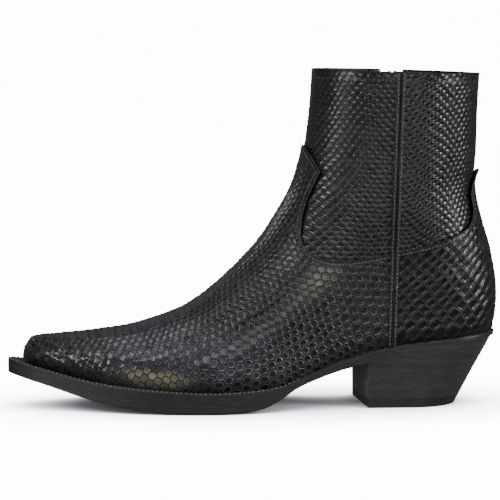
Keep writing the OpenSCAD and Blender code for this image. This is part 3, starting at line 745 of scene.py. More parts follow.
@dataclass(frozen=True)
class SkinFinish:
    """Glossy black snake skin: domed scales in dark grooves, with painted reflection and highlight laid over the
    scales' own colour.
    """

    name: str = "snake_skin"
    base: tuple = rgba(0.0035, 0.0035, 0.0038)
    groove: tuple = rgba(0.0012, 0.0012, 0.0013)
    # pale: random lighter scales, and painted glints on the scales' rims
    pale: tuple = rgba(0.17, 0.17, 0.175)
    # painted reflection of purple light on the gloss
    violet_reflection: tuple = rgba(0.068, 0.06, 0.115)
    # partly the skin's own yellow-green, partly painted highlight
    olive_and_highlight: tuple = rgba(0.27, 0.255, 0.17)
    worn: tuple = rgba(0.16, 0.16, 0.165)
    gloss: float = 0.26

    def make(self) -> Material:
        """Builds the material from the pieces' skin, free and tint_and_sheen attributes; the last holds shares of
        painted reflection and highlight.
        """
        s = Shade(self.name)
        skin = s.attribute("skin").outputs["Vector"]
        tint_and_sheen = s.split(s.attribute("tint_and_sheen").outputs["Vector"])
        free = s.attribute("free").outputs["Fac"]
        cells = find_cells(s, skin)
        more = s.node("ShaderNodeTexWhiteNoise", {"Vector": cells.centre}, noise_dimensions="3D").outputs["Color"]
        luck = s.node("ShaderNodeSeparateColor", {0: more}).outputs
        groove = s.times(s.ramp(cells.edge, 0.04, 0.26, 1.0, 0.0), free)
        rim = s.times(s.ramp(cells.edge, 0.08, 0.24), s.ramp(cells.edge, 0.26, 0.5, 1.0, 0.0))
        fine = s.noise(900.0, 4.0)
        patch = s.noise(38.0, 3.0)
        tone = s.times(s.ramp(luck[0], 0.35, 1.0, 0.15, 1.0), s.ramp(patch, 0.35, 0.7))
        colour = s.blend(s.times(tone, 0.05), self.base, self.pale)
        # painted reflection: a purple tint over the mid vamp stands in for coloured light reflected in the gloss
        colour = s.blend(s.times(tint_and_sheen[0], s.ramp(luck[1], 0.1, 0.8, 0.45, 1.0)), colour, self.violet_reflection)
        # yellow-green scales on the low toe: partly the skin's own colour, partly painted highlight
        colour = s.blend(s.times(tint_and_sheen[1], s.ramp(luck[2], 0.1, 0.8, 0.4, 1.0)), colour, self.olive_and_highlight)
        # painted highlight: thin pale lines on the scales' rims stand in for light glinting on their edges
        rim_glint_share = s.times(tint_and_sheen[2], s.ramp(luck[1], 0.0, 1.0, 0.35, 1.0))
        colour = s.blend(s.times(rim_glint_share, s.times(rim, free)), colour, self.pale)
        colour = s.blend(groove, colour, self.groove)
        colour = s.blend(s.times(s.attribute("worn").outputs["Fac"], 0.8), colour, self.worn)
        rough = s.plus(s.ramp(fine, 0.3, 0.7, self.gloss - 0.06, self.gloss + 0.1),
                       s.times(groove, 0.35))
        rough = s.plus(rough, s.ramp(luck[0], 0.0, 1.0, -0.05, 0.06))
        drawn = s.node("ShaderNodeMapping", {"Vector": skin, "Scale": (3.0, 18.0, 0.0)}).outputs[0]
        streak = s.noise(1.0, 2.0, drawn)
        relief = s.plus(s.ramp(cells.edge, 0.0, 0.3), s.times(fine, 0.12))
        relief = s.plus(relief, s.times(streak, 0.08))
        normal = s.bump(s.times(relief, s.math("MAXIMUM", free, 0.25)), 0.0003)
        return s.finish(Base_Color=colour, Roughness=rough, Normal=normal, Coat_Weight=0.25, Coat_Roughness=0.2,
                        Specular_IOR_Level=0.5)


@dataclass(frozen=True)
class GrainFinish:
    """Plain leather, rubber or board with a fine grain."""

    name: str
    base: tuple
    worn: tuple
    roughness: float = 0.5
    grain: float = 900.0
    depth: float = 0.00015
    coat: float = 0.0

    def make(self) -> Material:
        """Builds the material on object coordinates."""
        s = Shade(self.name)
        place = s.place()
        pores = s.node("ShaderNodeTexVoronoi", {"Vector": place, "Scale": self.grain}).outputs["Distance"]
        cloud = s.noise(55.0, 4.0)
        colour = s.blend(s.ramp(cloud, 0.35, 0.72), self.base, self.worn)
        rough = s.ramp(s.noise(160.0, 3.0), 0.3, 0.7, self.roughness - 0.08, self.roughness + 0.1)
        normal = s.bump(s.plus(pores, s.noise(self.grain * 0.4, 4.0)), self.depth)
        return s.finish(Base_Color=colour, Roughness=rough, Normal=normal, Coat_Weight=self.coat, Coat_Roughness=0.2)


@dataclass(frozen=True)
class StackFinish:
    """Polished edge of layered leather, with fine level lines and a rough, streaked front face."""

    name: str
    base: tuple = rgba(0.028, 0.028, 0.031)
    light: tuple = rgba(0.1, 0.1, 0.107)
    raw: tuple = rgba(0.3, 0.29, 0.28)
    line_pitch: float = 1.0
    gloss: float = 0.36
    follow_sole: bool = False

    def make(self) -> Material:
        """Builds the material; the lines follow the level attribute."""
        s = Shade(self.name)
        place = s.place()
        level = s.attribute("level").outputs["Fac"]
        parts = s.split(place)
        lines_at = s.node("ShaderNodeCombineXYZ", {0: s.times(parts[0], 110.0),
                                                   1: s.times(parts[1], 110.0),
                                                   2: s.times(level, 1600.0 / self.line_pitch)})
        lines = s.noise(1.0, 5.0, lines_at.outputs[0], 0.62)
        broad_at = s.node("ShaderNodeCombineXYZ", {0: s.times(parts[0], 12.0), 1: s.times(parts[1], 12.0),
                                                   2: s.times(level, 420.0)})
        broad = s.noise(1.0, 3.0, broad_at.outputs[0], 0.5)
        colour = s.blend(s.times(s.ramp(lines, 0.48, 0.78), 0.5), self.base, self.light)
        colour = s.blend(s.times(s.ramp(broad, 0.45, 0.75), 0.15), colour, self.light)
        face = s.split(s.node("ShaderNodeNewGeometry").outputs["True Normal"])[0]
        # only the heel's front face is rough; a sole's edge has none
        forward = s.times(face, 0.0 if self.follow_sole else -1.0)
        front = s.ramp(forward, 0.9, 0.98)
        slant = s.node("ShaderNodeMapping", {"Vector": place, "Rotation": (0.9, 0.0, 0.0),
                                             "Scale": (500.0, 1400.0, 160.0)}).outputs[0]
        fibres = s.noise(1.0, 5.0, slant, 0.7)
        colour = s.blend(s.times(front, s.ramp(fibres, 0.45, 0.7)), colour, self.raw)
        rough = s.plus(s.ramp(lines, 0.3, 0.7, self.gloss, self.gloss + 0.16), s.times(front, 0.35))
        height = s.plus(s.times(lines, 0.5), s.times(front, fibres))
        normal = s.bump(height, 0.00022)
        return s.finish(Base_Color=colour, Roughness=rough, Normal=normal, Coat_Weight=0.3, Coat_Roughness=0.18)


@dataclass(frozen=True)
class MetalFinish:
    """Metal with fine scratches."""

    name: str
    base: tuple
    dull: tuple
    roughness: float = 0.3

    def make(self) -> Material:
        """Builds the material on object coordinates."""
        s = Shade(self.name)
        stretch = s.node("ShaderNodeMapping", {"Vector": s.place(),
                                               "Scale": (900.0, 900.0, 60.0)}).outputs[0]
        brush = s.noise(1.0, 4.0, stretch, 0.5)
        colour = s.blend(s.ramp(s.noise(260.0), 0.4, 0.7), self.base, self.dull)
        rough = s.ramp(brush, 0.3, 0.7, self.roughness - 0.08, self.roughness + 0.14)
        return s.finish(Base_Color=colour, Roughness=rough, Metallic=1.0, Normal=s.bump(brush, 0.00004))


@dataclass(frozen=True)
class WovenFinish:
    """Herringbone tape or plied thread."""

    name: str
    base: tuple
    light: tuple
    threads: float = 1700.0

    def make(self) -> Material:
        """Builds the material on object coordinates."""
        s = Shade(self.name)
        parts = s.split(s.place())
        fold = s.math("PINGPONG", parts[0], 0.0016)
        wave = s.math("SINE", s.times(s.plus(parts[2], fold), self.threads * 3.0))
        rib = s.ramp(wave, -1.0, 1.0)
        colour = s.blend(s.times(rib, s.ramp(s.noise(600.0), 0.3, 0.7, 0.4, 1.0)), self.base, self.light)
        rough = s.ramp(s.noise(800.0), 0.3, 0.7, 0.62, 0.85)
        return s.finish(Base_Color=colour, Roughness=rough, Normal=s.bump(rib, 0.00012))


@dataclass(frozen=True)
class StageFinish:
    """Bright pale studio surface that glows evenly; it takes a faint real shadow from the lamps and a stronger
    painted shadow round the boot.
    """

    name: str = "studio_floor"
    tone: float = 0.8
    glow: float = 13.0
    shade: tuple = rgba(0.86, 0.88, 1.0)
    shade_reach: float = 0.075

    def make(self) -> Material:
        """Builds the material."""
        s = Shade(self.name)
        t = self.tone
        colour = s.blend(s.noise(3.0), rgba(t, t, t), rgba(t + 0.01, t + 0.01, t + 0.012))
        # painted shadow: where ambient occlusion finds the boot near, the floor's glow dims and turns bluish
        open_sky = s.node("ShaderNodeAmbientOcclusion", {"Distance": self.shade_reach}).outputs["AO"]
        glow = s.times(s.math("POWER", open_sky, 2.2), self.glow)
        tone = s.blend(open_sky, self.shade, rgba(1, 1, 1))
        return s.finish(Base_Color=colour, Roughness=0.8, Emission_Color=tone, Emission_Strength=glow)


class Finish(Enum):
    """The finishes of the boot."""

    SKIN = SkinFinish()
    PLAIN = GrainFinish("plain_black_leather", rgba(0.009, 0.009, 0.0095), rgba(0.022, 0.022, 0.023), 0.38, 900.0,
                        0.0003, 0.2)
    CUT_EDGE = GrainFinish("cut_leather_edge", rgba(0.07, 0.07, 0.072), rgba(0.16, 0.16, 0.16), 0.5, 1500.0)
    LINING = GrainFinish("lining_leather", rgba(0.005, 0.0048, 0.0048), rgba(0.011, 0.0105, 0.01), 0.62, 700.0)
    BOARD = GrainFinish("fibre_board", rgba(0.3, 0.22, 0.14), rgba(0.4, 0.31, 0.21), 0.8, 500.0)
    CORK = GrainFinish("cork", rgba(0.28, 0.17, 0.09), rgba(0.42, 0.28, 0.16), 0.85, 300.0, 0.0003)
    RUBBER = GrainFinish("black_rubber", rgba(0.014, 0.014, 0.015), rgba(0.024, 0.024, 0.025), 0.5, 1300.0)
    STACK = StackFinish("stacked_heel")
    EDGE = StackFinish("sole_edge", rgba(0.009, 0.009, 0.0095), rgba(0.07, 0.07, 0.073), line_pitch=0.8, gloss=0.4,
                       follow_sole=True)
    STEEL = MetalFinish("steel", rgba(0.5, 0.5, 0.52), rgba(0.36, 0.36, 0.37))
    ZIP_METAL = MetalFinish("dark_nickel", rgba(0.3, 0.3, 0.31), rgba(0.17, 0.17, 0.175), 0.26)
    BRASS = MetalFinish("brass", rgba(0.6, 0.45, 0.2), rgba(0.42, 0.32, 0.16))
    TAPE = WovenFinish("zip_tape", rgba(0.003, 0.003, 0.0034), rgba(0.014, 0.014, 0.015))
    # the thread's grey is partly its own colour and partly painted glint, kept light so that the stitches show
    THREAD = WovenFinish("thread", rgba(0.1, 0.1, 0.102), rgba(0.28, 0.28, 0.285), 5200.0)

    def material(self) -> Material:
        """The material, made on first use."""
        found = bpy.data.materials.get(self.value.name)
        return found or self.value.make()


# ---------------------------------------------------------------- mesh helpers
def put_in_scene(name: str, data: bpy.types.ID) -> Piece:
    """Makes an object of a mesh, lamp or camera and links it to the scene.

    Args:
        name: the object's name.
        data: what it shows.

    Returns:
        The new object.
    """
    obj = bpy.data.objects.new(name, data)
    bpy.context.scene.collection.objects.link(obj)
    return obj


def new_piece(name: str, points_mm: Array, faces: Sequence, finish: Finish, smooth: bool = True) -> Piece:
    """Makes a mesh object from points in millimetres.

    Args:
        name: the piece's name.
        points_mm: its points.
        faces: its faces, as tuples of point numbers.
        finish: what it's dressed in.
        smooth: True for smooth shading.

    Returns:
        The new object.
    """
    mesh = bpy.data.meshes.new(name)
    mesh.from_pydata((np.asarray(points_mm, float) * MM).tolist(), [], [tuple(f) for f in faces])
    mesh.update()
    mesh.polygons.foreach_set("use_smooth", [smooth] * len(mesh.polygons))
    obj = put_in_scene(name, mesh)
    mesh.materials.append(finish.material())
    return obj


def add_attribute(obj: Piece, name: str, kind: str, values: Array) -> None:
    """Stores a value on every point of a piece.

    Args:
        obj: the piece.
        name: the attribute's name.
        kind: its data type.
        values: one value for each point.
    """
    layer = obj.data.attributes.new(name, kind, "POINT")
    key = "vector" if kind == "FLOAT_VECTOR" else "value"
    layer.data.foreach_set(key, np.asarray(values, np.float32).ravel())


def settle(obj: Piece, body: str, finish: Finish, *stands_for: str) -> Piece:
    """Turns live modifiers into plain mesh, then hands the piece to its body.

    Args:
        obj: the piece.
        body: the body it rides on.
        finish: what it is dressed in; not used.
        stands_for: the CAD nodes it replaces.

    Returns:
        The same piece, as plain mesh.
    """
    if obj.modifiers:
        graph = bpy.context.evaluated_depsgraph_get()
        mesh = bpy.data.meshes.new_from_object(obj.evaluated_get(graph), preserve_all_data_layers=True,
                                               depsgraph=graph)
        obj.modifiers.clear()
        obj.data = mesh
    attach(obj, body)
    if stands_for:
        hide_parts(*stands_for)
    log.info("%s: %d faces on %s", obj.name, len(obj.data.polygons), body)
    return obj


def sharpen(obj: Piece, degrees: float = 35.0) -> None:
    """Marks edges sharper than an angle, so that flat faces meet crisply."""
    obj.data.set_sharp_from_angle(angle=math.radians(degrees))


def soft_box(low: Sequence[float], high: Sequence[float], r: float) -> tuple[Array, list]:
    """Box with cut edges and corners.

    Args:
        low: lowest corner.
        high: highest corner.
        r: size of the cut.

    Returns:
        Its points and faces.
    """
    low, high = np.asarray(low, float), np.asarray(high, float)
    points, index = [], {}
    for corner in range(8):
        sign = np.array([1 if corner >> k & 1 else -1 for k in range(3)])
        base = np.where(sign > 0, high, low)
        for axis in range(3):
            p = base - sign * r
            p[axis] = base[axis]
            index[(corner, axis)] = len(points)
            points.append(p)
    faces = []
    for axis in range(3):
        u, v = (axis + 1) % 3, (axis + 2) % 3
        for top in (0, 1):
            ring = [(top << axis) | (a << u) | (b << v) for a, b in ((0, 0), (1, 0), (1, 1), (0, 1))]
            loop = [index[(c, axis)] for c in ring]
            faces.append(loop if top else loop[::-1])
        for a in (0, 1):
            for b in (0, 1):
                c0 = (a << u) | (b << v)
                c1 = c0 | (1 << axis)
                quad = [index[(c0, u)], index[(c1, u)], index[(c1, v)], index[(c0, v)]]
                faces.append(quad if (a + b) % 2 == 0 else quad[::-1])
    for corner in range(8):
        tri = [index[(corner, k)] for k in range(3)]
        faces.append(tri if bin(corner).count("1") % 2 else tri[::-1])
    return np.array(points), faces


def fix_normals(obj: Piece) -> None:
    """Merges doubles and turns every face outwards.

    Args:
        obj: the piece, changed in place.
    """
    bm = bmesh.new()
    bm.from_mesh(obj.data)
    bmesh.ops.remove_doubles(bm, verts=bm.verts, dist=1e-6)
    bmesh.ops.recalc_face_normals(bm, faces=bm.faces)
    bm.to_mesh(obj.data)
    bm.free()


# ---------------------------------------------------------------- geometry node trees
class Nodes(Tree):
    """A geometry node tree with named inputs."""

    def __init__(self, name: str) -> None:
        """Starts the tree with a geometry input and output.

        Args:
            name: the tree's name.
        """
        self.tree = bpy.data.node_groups.new(name, "GeometryNodeTree")
        self.tree.is_modifier = True
        self.tree.interface.new_socket("Geometry", in_out="INPUT", socket_type="NodeSocketGeometry")
        self.tree.interface.new_socket("Geometry", in_out="OUTPUT", socket_type="NodeSocketGeometry")
        self.names: dict[str, str] = {}
        self.source: Optional[Node] = None

    def value(self, name: str, kind: str, default: object) -> None:
        """Adds a named input.

        Args:
            name: the input's name.
            kind: its socket type.
            default: its value, or None for the type's own.
        """
        socket = self.tree.interface.new_socket(name, in_out="INPUT", socket_type=kind)
        if default is not None:
            socket.default_value = default
        self.names[name] = socket.identifier

    def sizes(self, **defaults: float) -> None:
        """Adds a named input for each size, and then one for the finish.

        Args:
            defaults: each input's value by its name.
        """
        for name, default in defaults.items():
            self.value(name, "NodeSocketFloat", default)
        self.value("Finish", "NodeSocketMaterial", None)

    def given(self, name: str) -> Socket:
        """The named input's socket."""
        if self.source is None:
            self.source = self.tree.nodes.new("NodeGroupInput")
        return self.source.outputs[name]

    def finish(self, geometry: Socket) -> None:
        """Ends the tree in Realize Instances and Set Material.

        Args:
            geometry: what the tree has made.
        """
        real = self.node("GeometryNodeRealizeInstances", {0: geometry})
        dressed = self.node("GeometryNodeSetMaterial",
                            {"Geometry": real.outputs[0], "Material": self.given("Finish")})
        out = self.tree.nodes.new("NodeGroupOutput")
        self.tree.links.new(dressed.outputs[0], out.inputs[0])

    def put_on(self, obj: Piece, **values: object) -> None:
        """Puts the tree on a piece, with its inputs set by identifier.

        Args:
            obj: the piece.
            values: the tree's inputs by name.
        """
        modifier = obj.modifiers.new(self.tree.name, "NODES")
        modifier.node_group = self.tree
        for name, value in values.items():
            modifier[self.names[name]] = value


def scale_tree() -> Nodes:
    """Tree that raises domed, slightly lifted scales along the out attribute."""
    g = Nodes("raise_scales")
    g.sizes(Height=0.0004, Lift=0.0002, Uneven=0.0001, Droop=0.0, Round=0.7)

    def read(name: str, kind: str) -> Socket:
        """Named attribute of the piece."""
        n = g.node("GeometryNodeInputNamedAttribute", {"Name": name}, data_type=kind)
        return n.outputs[0]

    skin, out, free = read("skin", "FLOAT_VECTOR"), read("out", "FLOAT_VECTOR"), read("free", "FLOAT")
    cells = find_cells(g, skin)
    dome = g.node("ShaderNodeMapRange", {0: cells.edge, 1: 0.0, 2: g.given("Round"), 3: 0.0, 4: 1.0},
                  interpolation_type="SMOOTHSTEP").outputs[0]
    ramp = g.plus(g.times(cells.across, g.given("Lift")),
                  g.times(cells.down, g.given("Droop")))
    height = g.plus(g.plus(g.given("Height"), ramp), g.times(cells.luck, g.given("Uneven")))
    height = g.times(height, dome)
    height = g.times(height, free)
    offset = g.node("ShaderNodeVectorMath", {0: out, "Scale": height}, operation="SCALE").outputs[0]
    moved = g.node("GeometryNodeSetPosition", {"Geometry": g.given("Geometry"), "Offset": offset})
    real = g.node("GeometryNodeRealizeInstances", {0: moved.outputs[0]})
    end = g.tree.nodes.new("NodeGroupOutput")
    is_edge = g.node("GeometryNodeInputMaterialIndex").outputs[0]
    first = g.node("FunctionNodeCompare", {2: is_edge, 3: 0}, data_type="INT", operation="EQUAL").outputs[0]
    dressed = g.node("GeometryNodeSetMaterial", {"Geometry": real.outputs[0], "Selection": first,
                                                 "Material": g.given("Finish")})
    g.tree.links.new(dressed.outputs[0], end.inputs[0])
    return g


def stitch_tree() -> Nodes:
    """Tree that lays short sewn stitches along a line, each lying on the surface."""
    g = Nodes("lay_stitches")
    g.sizes(Pitch=0.003, Length=0.0024, Thick=0.0006, Twist=0.12)
    line = g.node("GeometryNodeMeshToCurve", {0: g.given("Geometry")})
    even = g.node("GeometryNodeResampleCurve", {"Curve": line.outputs[0], "Length": g.given("Pitch")}, mode="LENGTH")
    tangent = g.node("GeometryNodeInputTangent").outputs[0]
    up = g.node("GeometryNodeInputNamedAttribute", {"Name": "out"}, data_type="FLOAT_VECTOR").outputs[0]
    turn = g.node("FunctionNodeAlignRotationToVector", {"Vector": tangent}, axis="X")
    turn = g.node("FunctionNodeAlignRotationToVector", {"Rotation": turn.outputs[0], "Vector": up}, axis="Z",
                  pivot_axis="X")
    slant = g.node("FunctionNodeAxisAngleToRotation", {"Axis": (0, 0, 1), "Angle": g.given("Twist")})
    turn = g.node("FunctionNodeRotateRotation", {0: turn.outputs[0], 1: slant.outputs[0]}, rotation_space="LOCAL")
    bead = g.node("GeometryNodeMeshUVSphere", {"Segments": 6, "Rings": 6, "Radius": 0.5})
    size = g.node("ShaderNodeCombineXYZ", {0: g.given("Length"), 1: g.given("Thick"), 2: g.given("Thick")})
    shaped = g.node("GeometryNodeTransform", {"Geometry": bead.outputs[0], "Scale": size.outputs[0]})
    laid = g.node("GeometryNodeInstanceOnPoints", {"Points": even.outputs[0], "Instance": shaped.outputs[0],
                                                   "Rotation": turn.outputs[0]})
    g.finish(laid.outputs[0])
    return g


def tooth_tree() -> Nodes:
    """Tree that sets clamped zip teeth at an even pitch along a straight cord."""
    g = Nodes("set_teeth")
    g.sizes(Pitch=0.0029, Reach=0.0037, Height=0.00137, Thick=0.0022, Side=1.0, Tilt=0.0)
    line = g.node("GeometryNodeMeshToCurve", {0: g.given("Geometry")})
    even = g.node("GeometryNodeResampleCurve", {"Curve": line.outputs[0], "Length": g.given("Pitch")}, mode="LENGTH")
    body = g.node("GeometryNodeMeshCube", {"Size": g.node("ShaderNodeCombineXYZ", {
        0: g.given("Reach"), 1: g.given("Thick"), 2: g.given("Height")}).outputs[0]})
    head = g.node("GeometryNodeMeshUVSphere", {"Segments": 10, "Rings": 6, "Radius": 0.5})
    head = g.node("GeometryNodeTransform", {
        "Geometry": head.outputs[0],
        "Translation": g.node("ShaderNodeCombineXYZ", {
            0: g.times(g.times(g.given("Reach"), 0.26), g.given("Side"))}).outputs[0],
        "Scale": g.node("ShaderNodeCombineXYZ", {0: g.times(g.given("Height"), 1.25),
                                                 1: g.times(g.given("Thick"), 1.12),
                                                 2: g.times(g.given("Height"), 0.98)}).outputs[0]})
    foot = g.node("GeometryNodeMeshCube", {"Size": g.node("ShaderNodeCombineXYZ", {
        0: g.times(g.given("Reach"), 0.42), 1: g.times(g.given("Thick"), 1.1),
        2: g.times(g.given("Height"), 0.8)}).outputs[0]})
    foot = g.node("GeometryNodeTransform", {
        "Geometry": foot.outputs[0],
        "Translation": g.node("ShaderNodeCombineXYZ", {
            0: g.times(g.times(g.given("Reach"), -0.26), g.given("Side"))}).outputs[0]})
    slim = g.node("GeometryNodeTransform", {"Geometry": body.outputs[0], "Scale": (1.0, 0.8, 0.62)})
    tooth = g.node("GeometryNodeJoinGeometry")
    for part in (slim, head, foot):
        g.tree.links.new(part.outputs[0], tooth.inputs[0])
    tilt = g.node("ShaderNodeCombineXYZ", {0: g.given("Tilt")})
    laid = g.node("GeometryNodeInstanceOnPoints", {"Points": even.outputs[0], "Instance": tooth.outputs[0],
                                                   "Rotation": tilt.outputs[0]})
    g.finish(laid.outputs[0])
    return g


def sew(tree: Nodes, name: str, points: Array, normals: Array, pitch: float = 2.6,
        thick: float = 0.7) -> Piece:
    """Sews one row of stitches.

    Args:
        tree: the tree that lays the stitches.
        name: the row's name.
        points: the line they follow, in millimetres.
        normals: the surface's outward direction at each point.
        pitch: distance from stitch to stitch.
        thick: the thread's thickness.

    Returns:
        The finished row.
    """
    mesh = bpy.data.meshes.new(name)
    mesh.from_pydata((points * MM).tolist(), [(i, i + 1) for i in range(len(points) - 1)], [])
    obj = put_in_scene(name, mesh)
    add_attribute(obj, "out", "FLOAT_VECTOR", normals)
    tree.put_on(obj, Finish=Finish.THREAD.material(), Pitch=pitch * MM, Length=pitch * 0.84 * MM, Thick=thick * MM)
    return settle(obj, "boot", Finish.THREAD)


# ---------------------------------------------------------------- pieces of the upper
@dataclass
class SkinMap:
    """Coordinates of the scales on the foot, measured from the ridge over the instep."""

    form: BootForm
    spacing: float = 1.5
    reach: int = 130

    def __post_init__(self) -> None:
        """Measures how far the surface runs from the ridge at each place along it."""
        a = np.linspace(self.form.ridge_low - 6, self.form.ridge_high, 500)
        b = curve(self.form.ridge_rows, a)
        ridge = resample(np.stack([(a - b) / 2, (a + b) / 2], -1), self.spacing)
        step = np.gradient(ridge, axis=0)
        step /= np.linalg.norm(step, axis=1, keepdims=True)
        inward = np.stack([step[:, 1], -step[:, 0]], -1)
        depth = np.arange(self.reach + 1, dtype=float)
        x = ridge[:, 0, None] + inward[:, 0, None] * depth
        z = ridge[:, 1, None] + inward[:, 1, None] * depth
        y = self.form.half_width(x, z, np.full_like(x, OUTER), 0.0)
        run = np.sqrt(1 + np.diff(y, axis=1) ** 2)
        self.ridge = ridge
        self.across = np.concatenate([np.zeros((len(ridge), 1)), np.cumsum(run, axis=1)], axis=1)

    def read(self, x: Array, z: Array) -> tuple[Array, Array]:
        """Distance along the ridge and across the skin for points of the side view, in millimetres.

        Args:
            x: x of each point.
            z: z of each point.

        Returns:
            Two arrays, along and across.
        """
        along, across = np.zeros_like(x), np.zeros_like(x)
        for start in range(0, len(x), 8000):
            part = slice(start, start + 8000)
            d = np.hypot(x[part, None] - self.ridge[None, :, 0], z[part, None] - self.ridge[None, :, 1])
            near = d.argmin(axis=1)
            rows = np.arange(len(near))
            lo, hi = np.maximum(near - 1, 0), np.minimum(near + 1, len(self.ridge) - 1)
            dl, dm, dh = d[rows, lo] ** 2, d[rows, near] ** 2, d[rows, hi] ** 2
            shift = np.clip((dl - dh) / np.maximum(2 * (dl - 2 * dm + dh), 1e-6), -0.5, 0.5)
            k = np.clip(d[rows, near], 0, self.reach - 1.001)
            i = np.clip(near + shift, 0, len(self.ridge) - 1.001)
            i0, k0 = i.astype(int), k.astype(int)
            fi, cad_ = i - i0, k - k0
            t = self.across
            value = ((1 - fi) * ((1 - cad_) * t[i0, k0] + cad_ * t[i0, k0 + 1])
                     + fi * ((1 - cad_) * t[i0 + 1, k0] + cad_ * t[i0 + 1, k0 + 1]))
            along[part], across[part] = i * self.spacing, value
        return along, across


@dataclass
class Panel:
    """One leather panel: a fine, trimmed patch of the wall with a cut edge."""

    form: BootForm
    name: str
    stands_for: tuple[str, ...]
    depth: float
    thick: float
    turns: tuple[float, float]
    heights: tuple[float, float]
    columns: int
    rows: int
    keep: Callable[[Array], Array]
    finish: Finish = Finish.SKIN
    edge_finish: Finish = Finish.CUT_EDGE
    skin: Optional[Callable[[Array], Array]] = None
    tint_and_sheen: Optional[Callable[[Array], Array]] = None
    pressed: Optional[Callable[[Array], Array]] = None
    bare: float = 1.2
    skive: float = 0.45

    def _even(self) -> tuple[Array, Array]:
        """Grid values spaced so that the facets are of an even size on average."""
        s = np.linspace(self.heights[0], self.heights[1], 60)
        t = np.linspace(self.turns[0], self.turns[1], 240)
        p = self.form.point(s[:, None], t[None, :], self.depth)
        across = np.linalg.norm(np.diff(p, axis=1), axis=2).mean(axis=0) + 0.02
        up = np.linalg.norm(np.diff(p, axis=0), axis=2).mean(axis=1) + 0.02
        run, rise = np.concatenate([[0], np.cumsum(across)]), np.concatenate([[0], np.cumsum(up)])
        tt = np.interp(np.linspace(0, run[-1], self.columns), run, t)
        ss = np.interp(np.linspace(0, rise[-1], self.rows), rise, s)
        return ss, tt

    def build(self) -> tuple[Array, list, Array, Array]:
        """Cuts the panel out of the wall.

        Returns:
            Its points, faces, parameters (height, turn) and distance from the cut line.
        """
        ss, tt = self._even()
        s, t = [g.ravel() for g in np.meshgrid(ss, tt, indexing="ij")]
        points = self.form.point(s, t, self.depth)
        gap = self.keep(points)
        inside = gap < 0
        n = self.columns
        quads = (np.arange(self.rows - 1)[:, None] * n + np.arange(n - 1)[None, :]).ravel()
        corners = np.stack([quads, quads + 1, quads + n + 1, quads + n], -1)
        count = inside[corners].sum(axis=1)
        faces = corners[count == 4].tolist()
        extra_s, extra_t, made = [], [], {}
        base = len(s)

        def cut(a: int, b: int) -> int:
            """New point where the cut line crosses an edge.

            Args:
                a: number of one end.
                b: number of the other.

            Returns:
                The point's number.
            """
            key = (min(a, b), max(a, b))
            if key not in made:
                share = gap[a] / (gap[a] - gap[b])
                made[key] = base + len(extra_s)
                extra_s.append(s[a] + (s[b] - s[a]) * share)
                extra_t.append(t[a] + (t[b] - t[a]) * share)
            return made[key]

        for quad in corners[(count > 0) & (count < 4)].tolist():
            ring = []
            for a, b in zip(quad, quad[1:] + quad[:1]):
                if inside[a]:
                    ring.append(a)
                if inside[a] != inside[b]:
                    ring.append(cut(a, b))
            if len(ring) >= 3:
                faces.append(ring)
        s = np.concatenate([s, extra_s])
        t = np.concatenate([t, extra_t])
        used = np.unique(np.concatenate([np.asarray(f) for f in faces]))
        renumber = np.full(len(s), -1)
        renumber[used] = np.arange(len(used))
        faces = [renumber[f].tolist() for f in faces]
        s, t = s[used], t[used]
        points = self.form.point(s, t, self.depth)
        gap = self.keep(points)
        return points, faces, np.stack([s, t], -1), gap

    def make(self, tree: Optional[Nodes] = None, **sizes: float) -> Piece:
        """Builds, dresses and settles the panel.

        Args:
            tree: the tree that raises its scales, or None for smooth leather.
            sizes: the tree's inputs, in metres.

        Returns:
            The finished piece.
        """
        points, faces, params, gap = self.build()
        normals = self.form.wall_normal(params[:, 0], params[:, 1], self.depth)
        # the cut edge: a wall down from every open edge
        edges: dict[tuple[int, int], int] = {}
        for ring in faces:
            for a, b in zip(ring, ring[1:] + ring[:1]):
                edges[(a, b)] = edges.get((a, b), 0) + 1
        open_edges = [(a, b) for a, b in edges if (b, a) not in edges]
        lip = sorted({v for e in open_edges for v in e})
        at = {v: len(points) + i for i, v in enumerate(lip)}
        low = points[lip] - normals[lip] * self.thick
        walls = [(b, a, at[a], at[b]) for a, b in open_edges]
        points = points - normals * (self.skive * self.leather_edge(gap))[:, None]
        all_points = np.concatenate([points, low])
        obj = new_piece(self.name, all_points, faces + walls, self.finish)
        obj.data.materials.append(self.edge_finish.material())
        index = np.zeros(len(faces) + len(walls), np.int32)
        index[len(faces):] = 1
        obj.data.polygons.foreach_set("material_index", index)
        loose = ease(-gap / self.bare)
        if self.pressed is not None:
            loose = loose * ease(np.abs(self.pressed(points)) / 1.1)
        free = np.concatenate([loose, np.zeros(len(low))])
        add_attribute(obj, "free", "FLOAT", free)
        add_attribute(obj, "worn", "FLOAT", np.concatenate([ease(1 + gap / 1.1), np.ones(len(low))]))
        add_attribute(obj, "out", "FLOAT_VECTOR", np.concatenate([normals, normals[lip]]))
        if self.skin is not None:
            skin = self.skin(points)
            add_attribute(obj, "skin", "FLOAT_VECTOR", np.concatenate([skin, skin[lip]]))
            tint_and_sheen = self.tint_and_sheen(points) if self.tint_and_sheen else np.zeros((len(points), 3))
            add_attribute(obj, "tint_and_sheen", "FLOAT_VECTOR", np.concatenate([tint_and_sheen, tint_and_sheen[lip]]))
        if tree is not None:
            tree.put_on(obj, Finish=self.finish.material(), **sizes)
        settle(obj, "boot", self.finish, *self.stands_for)
        sharpen(obj, 60)
        return obj

    @staticmethod
    def leather_edge(gap: Array) -> Array:
        """How much the leather is thinned towards its cut edge, from 0 to 1."""
        return np.clip(1 + gap / 1.3, 0, 1) ** 2


